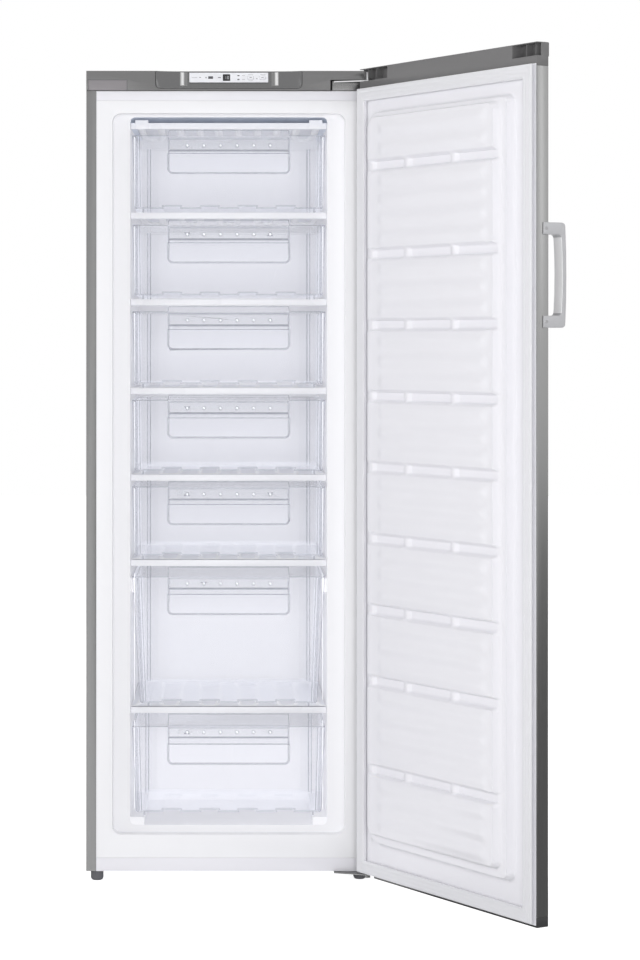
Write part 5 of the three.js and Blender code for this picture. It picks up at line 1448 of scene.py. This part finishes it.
                # The listed steps take the painted dark line finish.
                work.faces.new(wall).material_index = int(step in self.corner_shade_lines)
        for end in (rings[0], rings[-1]):
            work.faces.new(end).material_index = 1

    def _nubs(self, node: str, drop: float) -> None:
        """Adds the row of small grip nubs at the back of a drawer's scoop in a glowing painted highlight,
        each with a painted shadow just below and behind it.

        Args:
            node: CAD node of the drawer.
            drop: From the drawer's top to the row, in metres.
        """
        low, high = corners_of(node)
        nub = bpy.data.meshes.new("nub")
        work = bmesh.new()
        bmesh.ops.create_uvsphere(work, u_segments=12, v_segments=8, radius=self.nub_radius)
        work.to_mesh(nub)
        work.free()
        start = (low.x + high.x - (self.nub_count - 1) * self.nub_pitch) / 2
        step = Vector((self.nub_pitch, 0.0, 0.0))
        for part, finish, behind, below in (
            ("nubs", CLEAR_PAINTED_HIGHLIGHT, 0.0, 0.0),
            ("nub_painted_shades", NUB_PAINTED_SHADE, self.shade_behind, self.shade_below),
        ):
            row = repeated(f"{node}_{part}", nub, self.nub_count, step, finish)
            place = Matrix.Translation((start, self.scoop_back + behind, high.z - drop - below))
            piece = shown(f"{node}_{part}", settled(row, place), None, body_of(node))
            piece.visible_shadow = False

    def _glints(self, node: str) -> None:
        """Adds painted highlights as bright upright bars inside a drawer's front wall, near its side
        edges.

        Args:
            node: CAD node of the drawer.
        """
        low, high = corners_of(node)
        height = high.z - low.z - 2 * self.glint_end
        sides = (low.x + self.glint_inset, high.x - self.glint_inset)
        places = [(x, (low.z + high.z) / 2, self.glint_width, height) for x in sides]
        bars = slabs_mesh(places, low.y + self.glint_depth, self.glint_rise)
        piece = shown(f"{node}_glints", bars, CLEAR_PAINTED_HIGHLIGHT, body_of(node))
        piece.visible_shadow = False


@dataclass
class Door:
    """The hinged door with its formed liner, gasket, caps and bow handle."""

    sheet_edge: float = 0.3 * MM
    foam_edge: float = 0.2 * MM
    top_cap_edge: float = 0.6 * MM
    bottom_cap_edge: float = 1.0 * MM
    bush_edge: float = 0.4 * MM
    handle_edge: float = 1.8 * MM
    open_angle: float = 121.5
    pin: Place = (569.0 * MM, -46.8 * MM, 0.0)
    middle: Place = (MIDDLE_X, -18.0 * MM, 0.0)
    liner_back: float = -12.4 * MM
    relief: Relief = Relief(
        half=296 * MM,
        low=25.75 * MM,
        high=1664.7 * MM,
        face=-10.4 * MM,
        plateaus=(
            Plateau(231 * MM, 102 * MM, 1608.5 * MM, 17.2 * MM, centre=0.5 * MM),
            Plateau(214 * MM, 122 * MM, 1597 * MM, 15.3 * MM, centre=7 * MM),
        ),
        grooves=tuple(TOP - drop * MM for drop in (208, 390, 536, 682, 828, 975, 1121, 1268, 1450)),
        groove_half=10.5 * MM,
        groove_floor=10 * MM,
        groove_reach=227 * MM,
        groove_centre=2 * MM,
        tabs=(-68 * MM, 91 * MM, 214 * MM),
        tab_half=8.5 * MM,
        tab_rise=6 * MM,
        ripple_pitch=38 * MM,
        ripple_rise=4.5 * MM,
        ripple_sides=(-193 * MM, 187 * MM),
    )
    gasket: tuple[float, float, float] = (293.5 * MM, 28.9 * MM, 1663.7 * MM)
    gasket_profile: tuple[tuple[float, float], ...] = (
        (6.0, -10.1), (6.0, -6.6), (1.2, -6.1), (0.0, -4.8), (0.0, -2.2), (1.8, -0.7), (5.0, -0.3),
        (8.4, -0.3), (9.0, -0.6), (9.6, -0.3), (16.8, -0.3), (17.4, -0.6), (18.0, -0.3), (22.0, -0.3),
        (24.8, -0.8), (26.5, -2.4), (26.5, -8.6), (25.3, -8.6), (24.8, -6.4), (20.5, -6.6), (20.5, -10.1),
    )
    screw_radius: float = 3.4 * MM
    screw_depth: float = -33.5 * MM
    screw_heights: tuple[float, float] = (1173.5 * MM, 1351.5 * MM)
    handle_side: float = -300.5 * MM
    grip: tuple[float, float] = (1190.0 * MM, 1335.0 * MM)
    grip_facing: float = 0.3

    def build(self) -> None:
        """Dresses the door."""
        refined("door_skin", DOOR_STEEL, self.sheet_edge)
        refined("door_foam", FOAM, self.foam_edge, 1)
        refined("door_top_cap", CAP_GREY, self.top_cap_edge)
        refined("door_bottom_cap", CAP_DARK, self.bottom_cap_edge)
        for bush in ("door_bush_upper", "door_bush_lower"):
            refined(bush, DARK_PLASTIC, self.bush_edge)
        self._handle()
        self._liner()
        self._gasket()
        self._handle_screws()

    def _opened(self) -> Matrix:
        """Gives the move from the shut door, drawn about the cabinet's middle, to the open one."""
        pin = Matrix.Translation(self.pin)
        turn = Matrix.Rotation(math.radians(self.open_angle), 4, "Z")
        return pin @ turn @ pin.inverted() @ Matrix.Translation(self.middle)

    def _liner(self) -> None:
        """Forms the liner by its rule and closes its back."""
        mesh = backed(relief_mesh("door_liner_rule", self.relief, DOOR_WHITE), self.liner_back)
        mesh.transform(self._opened())
        piece = shown("door_liner_formed", mesh, DOOR_WHITE, body_of("door_liner"))
        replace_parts(piece, "door_liner")

    def _gasket(self) -> None:
        """Runs the gasket's ribbed profile round the liner."""
        profile = [(inset * MM, y * MM) for inset, y in self.gasket_profile]
        mesh = frame_ring(profile, *self.gasket)
        mesh.transform(self._opened())
        piece = shown("door_gasket_profile", mesh, GASKET_WHITE, body_of("door_gasket"))
        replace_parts(piece, "door_gasket")

    def _handle(self) -> None:
        """Dresses the handle, with its inward grip faces in a lighter copy of its silver as painted light.
        """
        handle = refined("door_handle", HANDLE_SILVER, self.handle_edge, 4)
        handle.data.materials.append(HANDLE_GRIP_PAINTED_LIGHT.material())
        inward = self._opened().to_3x3() @ Vector((0.0, 1.0, 0.0))
        low, high = self.grip
        for face in handle.data.polygons:
            if face.normal.dot(inward) > self.grip_facing and low < face.center.z < high:
                face.material_index = 1

    def _handle_screws(self) -> None:
        """Adds the screw at each end of the handle, on the door's narrow side."""
        places = [(self.screw_depth, height) for height in self.screw_heights]
        heads = screw_heads("handle_screw_heads", places, self.screw_radius, HANDLE_PLUG)
        facing = Matrix(((0, 0, -1, self.handle_side), (1, 0, 0, 0), (0, 1, 0, 0), (0, 0, 0, 1)))
        shown("handle_screws", settled(heads, self._opened() @ facing), None, "door")


@dataclass
class Hardware:
    """Hinges and feet."""

    edge: float = 0.5 * MM
    tongue: float = 1681.2 * MM
    level_normal: float = 0.6

    def build(self) -> None:
        """Dresses the hinges and the feet, with a painted highlight on the upright faces of the upper
        hinge's tongue.
        """
        upper = refined("upper_hinge", HINGE_ZINC, self.edge)
        upper.data.materials.append(HINGE_PAINTED_HIGHLIGHT.material())
        # Upright faces above the tongue's height take the painted highlight.
        for face in upper.data.polygons:
            if face.center.z > self.tongue and abs(face.normal.z) < self.level_normal:
                face.material_index = 1
        for hinge in ("lower_hinge_plate", "lower_hinge_pin"):
            refined(hinge, HINGE_ZINC, self.edge)
        for foot in ("front_foot_left", "front_foot_right", "rear_foot_left", "rear_foot_right"):
            refined(foot, DARK_PLASTIC, self.edge)


@dataclass
class Cooling:
    """Compressor bay and condenser."""

    edge: float = 0.4 * MM
    shell_edge: float = 1.5 * MM
    relay_edge: float = 1.0 * MM
    runs: int = 12
    run_pitch: float = 102 * MM
    reach: float = 214.5 * MM
    tube_radius: float = 2.4 * MM
    tube_trim: float = 0.3
    wires: int = 45
    wire_pitch: float = 7.5 * MM
    wire: float = 1.6 * MM
    wire_sink: float = 0.6 * MM
    strap_place: float = 155 * MM
    strap_width: float = 12 * MM
    strap_edge: float = 0.3 * MM
    foot_height: float = 10 * MM
    foot_levels: tuple[float, float, float] = (20 * MM, 51 * MM, 32 * MM)
    middle: Place = (MIDDLE_X, 553.8 * MM, 892.0 * MM)

    def build(self) -> None:
        """Dresses the cooling circuit."""
        refined("compressor", BLACK_PAINT, self.shell_edge)
        refined("relay_box", DARK_PLASTIC, self.relay_edge)
        for pipe in ("discharge_tube", "suction_tube", "filter_drier"):
            refined(pipe, COPPER, self.edge)
        refined("cord_gland", DARK_PLASTIC, self.edge)
        low, high = corners_of("condenser")
        for piece in (self._tube(), *self._wires(low, high), *self._straps(low, high)):
            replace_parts(piece, "condenser")

    def _tube(self) -> bpy.types.Object:
        """Makes the condenser's snaking tube."""
        radii = (self.tube_radius, self.tube_radius)
        tube = snaking_tube(
            "condenser_run", self.runs, self.run_pitch, self.reach, radii, WIRE_BLACK, self.tube_trim
        )
        stood = Matrix(((0, 1, 0, 0), (0, 0, 1, 0), (1, 0, 0, 0), (0, 0, 0, 1)))
        place = Matrix.Translation(self.middle) @ stood
        return shown("condenser_tube", settled(tube, place), None, body_of("condenser"))

    def _wires(self, low: Vector, high: Vector) -> list[bpy.types.Object]:
        """Makes the many upright wires on both sides of the tube.

        Args:
            low: Low corner of the condenser's box.
            high: High corner of the condenser's box.

        Returns:
            The inner and the outer wires.
        """
        first = self.middle[0] - (self.wires - 1) * self.wire_pitch / 2
        offset = self.tube_radius + self.wire / 2 - self.wire_sink
        step = Vector((self.wire_pitch, 0.0, 0.0))
        pieces = []
        for side, way in (("inner", -1), ("outer", 1)):
            wire = bpy.data.meshes.new("wire")
            work = bmesh.new()
            place = (first, self.middle[1] + way * offset, (low.z + high.z) / 2)
            bmesh.ops.create_cone(
                work,
                cap_ends=True,
                segments=8,
                radius1=self.wire / 2,
                radius2=self.wire / 2,
                depth=high.z - low.z,
                matrix=Matrix.Translation(place),
            )
            work.to_mesh(wire)
            work.free()
            row = settled(repeated(f"{side}_wires", wire, self.wires, step, WIRE_BLACK), Matrix())
            pieces.append(shown(f"condenser_{side}_wires", row, None, body_of("condenser")))
        return pieces

    def _straps(self, low: Vector, high: Vector) -> list[bpy.types.Object]:
        """Makes the two upright straps and the feet that hold them off the back.

        Args:
            low: Low corner of the condenser's box.
            high: High corner of the condenser's box.

        Returns:
            The straps and the feet.
        """
        half = self.strap_width / 2
        above_foot, above_middle, below_top = self.foot_levels
        levels = (low.z + above_foot, (low.z + high.z) / 2 + above_middle, high.z - below_top)
        blocks = []
        for number, side in enumerate((-1, 1), 1):
            left = self.middle[0] + side * self.strap_place - half
            right = left + self.strap_width
            strap = box_mesh((left, high.y - self.wire, low.z), (right, high.y, high.z))
            blocks.append((f"condenser_strap_{number}", strap))
            for level, z in enumerate(levels, 1):
                top = (right, high.y - self.edge, z + self.foot_height)
                blocks.append((f"condenser_foot_{number}_{level}", box_mesh((left, low.y, z), top)))
        return [
            shown(name, eased(block, self.strap_edge), WIRE_BLACK, body_of("condenser"))
            for name, block in blocks
        ]


@dataclass(frozen=True)
class Card:
    """A glowing card that is seen in reflections only.

    Its middle and size are in metres, and its tilt about X and heading about Z in degrees.
    """

    name: str
    middle: Place
    tilt: float
    heading: float
    size: tuple[float, float]
    glow: float


@dataclass
class Studio:
    """Camera at the photograph's place, floor, backdrop light and lamps."""

    eye: Place = (MIDDLE_X, -5.527, 1.1289)
    roll: float = 0.0003
    lens: float = 98.1
    sensor: float = 36.0
    sight: float = 200.0
    shift: tuple[float, float] = (0.0951, -0.1406)
    aim: Place = (0.3, 0.1, 0.9)
    lamps: tuple[tuple[str, Place, float, float], ...] = (
        ("front_lamp", (0.3, -5.8, 1.3), 2.6, 138.0),
        ("left_lamp", (-4.6, -1.5, 3.0), 2.2, 68.0),
        ("right_lamp", (3.8, -2.2, 2.0), 2.6, 10.0),
        ("top_lamp", (0.3, 0.2, 4.2), 3.0, 12.0),
        ("back_lamp", (0.3, 4.5, 2.4), 3.0, 35.0),
    )
    cards: tuple[Card, ...] = (
        Card("low_card", (3.25, -1.9, 0.004), 0.0, 0.0, (5.8, 3.4), 0.2),
        Card("far_card", (6.2, -2.6, 0.2), 90.0, 70.0, (5.0, 0.5), 0.2),
        Card("right_streak", (3.75, -2.0, 2.6), 90.0, 60.0, (0.34, 1.6), 3.0),
        Card("left_streak", (-3.2, -2.0, 1.7), 90.0, -60.0, (0.34, 2.4), 4.5),
    )
    floor_reach: float = 14.0
    floor_tone: float = 0.93
    floor_glow: float = 0.8
    world_light: float = 0.38

    def build(self) -> None:
        """Sets up the studio."""
        self._camera()
        self._floor()
        self._world()
        for name, place, size, power in self.lamps:
            self._lamp(name, place, size, power)
        for card in self.cards:
            self._card(card)
        bpy.context.scene.view_settings.view_transform = "Standard"

    def _camera(self) -> None:
        """Places the camera."""
        camera = bpy.data.objects.new("camera", bpy.data.cameras.new("camera"))
        bpy.context.scene.collection.objects.link(camera)
        camera.data.sensor_fit = "VERTICAL"
        camera.data.sensor_height = self.sensor
        camera.data.lens = self.lens
        camera.data.shift_x, camera.data.shift_y = self.shift
        camera.data.clip_end = self.sight
        turn = Matrix.Rotation(math.pi / 2, 4, "X") @ Matrix.Rotation(self.roll, 4, "Z")
        camera.matrix_world = Matrix.Translation(self.eye) @ turn
        bpy.context.scene.camera = camera

    def _lamp(self, name: str, place: Place, size: float, power: float) -> None:
        """Adds a square soft lamp that looks at the middle of the freezer."""
        data = bpy.data.lights.new(name, "AREA")
        data.shape = "SQUARE"
        data.size = size
        data.energy = power
        lamp = bpy.data.objects.new(name, data)
        bpy.context.scene.collection.objects.link(lamp)
        lamp.location = place
        aim = Vector(self.aim) - Vector(place)
        lamp.rotation_euler = aim.to_track_quat("-Z", "Y").to_euler()
        lamp.visible_glossy = False

    def _card(self, card: Card) -> None:
        """Hangs a card, unseen by the camera and by every light but reflections."""
        mesh = bpy.data.meshes.new(card.name)
        x, y = card.size[0] / 2, card.size[1] / 2
        mesh.from_pydata([(-x, -y, 0.0), (x, -y, 0.0), (x, y, 0.0), (-x, y, 0.0)], [], [(0, 1, 2, 3)])
        tilted = Matrix.Rotation(math.radians(card.tilt), 4, "X")
        turned = Matrix.Rotation(math.radians(card.heading), 4, "Z") @ tilted
        mesh.transform(Matrix.Translation(card.middle) @ turned)
        made = bpy.data.materials.new(card.name)
        made.use_nodes = True
        shader = made.node_tree.nodes["Principled BSDF"]
        shader.inputs["Base Color"].default_value = (0.0, 0.0, 0.0, 1.0)
        shader.inputs["Specular IOR Level"].default_value = 0.0
        shader.inputs["Emission Color"].default_value = (1.0, 1.0, 1.0, 1.0)
        shader.inputs["Emission Strength"].default_value = card.glow
        mesh.materials.append(made)
        hung = bpy.data.objects.new(card.name, mesh)
        bpy.context.scene.collection.objects.link(hung)
        hung.visible_camera = False
        hung.visible_diffuse = False
        hung.visible_transmission = False
        hung.visible_shadow = False

    def _floor(self) -> None:
        """Adds the pale floor."""
        mesh = bpy.data.meshes.new("floor")
        reach = self.floor_reach
        corners = [(-reach, -reach, 0.0), (reach, -reach, 0.0), (reach, reach, 0.0), (-reach, reach, 0.0)]
        mesh.from_pydata(corners, [], [(0, 1, 2, 3)])
        floor = bpy.data.objects.new("floor", mesh)
        bpy.context.scene.collection.objects.link(floor)
        made = bpy.data.materials.new("floor_pale")
        made.use_nodes = True
        shader = made.node_tree.nodes["Principled BSDF"]
        tone = self.floor_tone
        shader.inputs["Base Color"].default_value = (tone, tone, tone, 1.0)
        shader.inputs["Roughness"].default_value = 0.9
        shader.inputs["Emission Color"].default_value = (1.0, 1.0, 1.0, 1.0)
        strength = shader.inputs["Emission Strength"]
        self._background_glow(made.node_tree, strength, 0.0, self.floor_glow)
        mesh.materials.append(made)

    def _world(self) -> None:
        """Makes the backdrop white to the camera and in reflections, and a soft grey light otherwise."""
        world = bpy.data.worlds.new("backdrop")
        world.use_nodes = True
        bpy.context.scene.world = world
        tree = world.node_tree
        background = tree.nodes["Background"]
        background.inputs["Color"].default_value = (1.0, 1.0, 1.0, 1.0)
        self._background_glow(tree, background.inputs["Strength"], self.world_light, 1.0)

    def _background_glow(
        self, tree: bpy.types.NodeTree, strength: bpy.types.NodeSocket, low: float, high: float
    ) -> None:
        """Sets a light's strength by whether the camera, a reflection or a clear piece sees it.

        Args:
            tree: Tree of the floor's or the world's material.
            strength: Socket to drive.
            low: Strength as a light on the object.
            high: Strength as a background.
        """
        path = tree.nodes.new("ShaderNodeLightPath")
        seen = path.outputs["Is Camera Ray"]
        for kind in ("Is Glossy Ray", "Is Transmission Ray"):
            either = tree.nodes.new("ShaderNodeMath")
            either.operation = "MAXIMUM"
            tree.links.new(seen, either.inputs[0])
            tree.links.new(path.outputs[kind], either.inputs[1])
            seen = either.outputs[0]
        level = tree.nodes.new("ShaderNodeMapRange")
        level.inputs["To Min"].default_value = low
        level.inputs["To Max"].default_value = high
        tree.links.new(seen, level.inputs["Value"])
        tree.links.new(level.outputs["Result"], strength)


def main() -> None:
    """Dresses the freezer and sets up the studio."""
    logging.basicConfig(level=logging.INFO, format="%(name)s: %(message)s")
    for assembly in (CabinetShell(), Controls(), Storage(), Door(), Hardware(), Cooling(), Studio()):
        LOG.info("building %s", type(assembly).__name__)
        assembly.build()


if __name__ == "__main__":
    main()
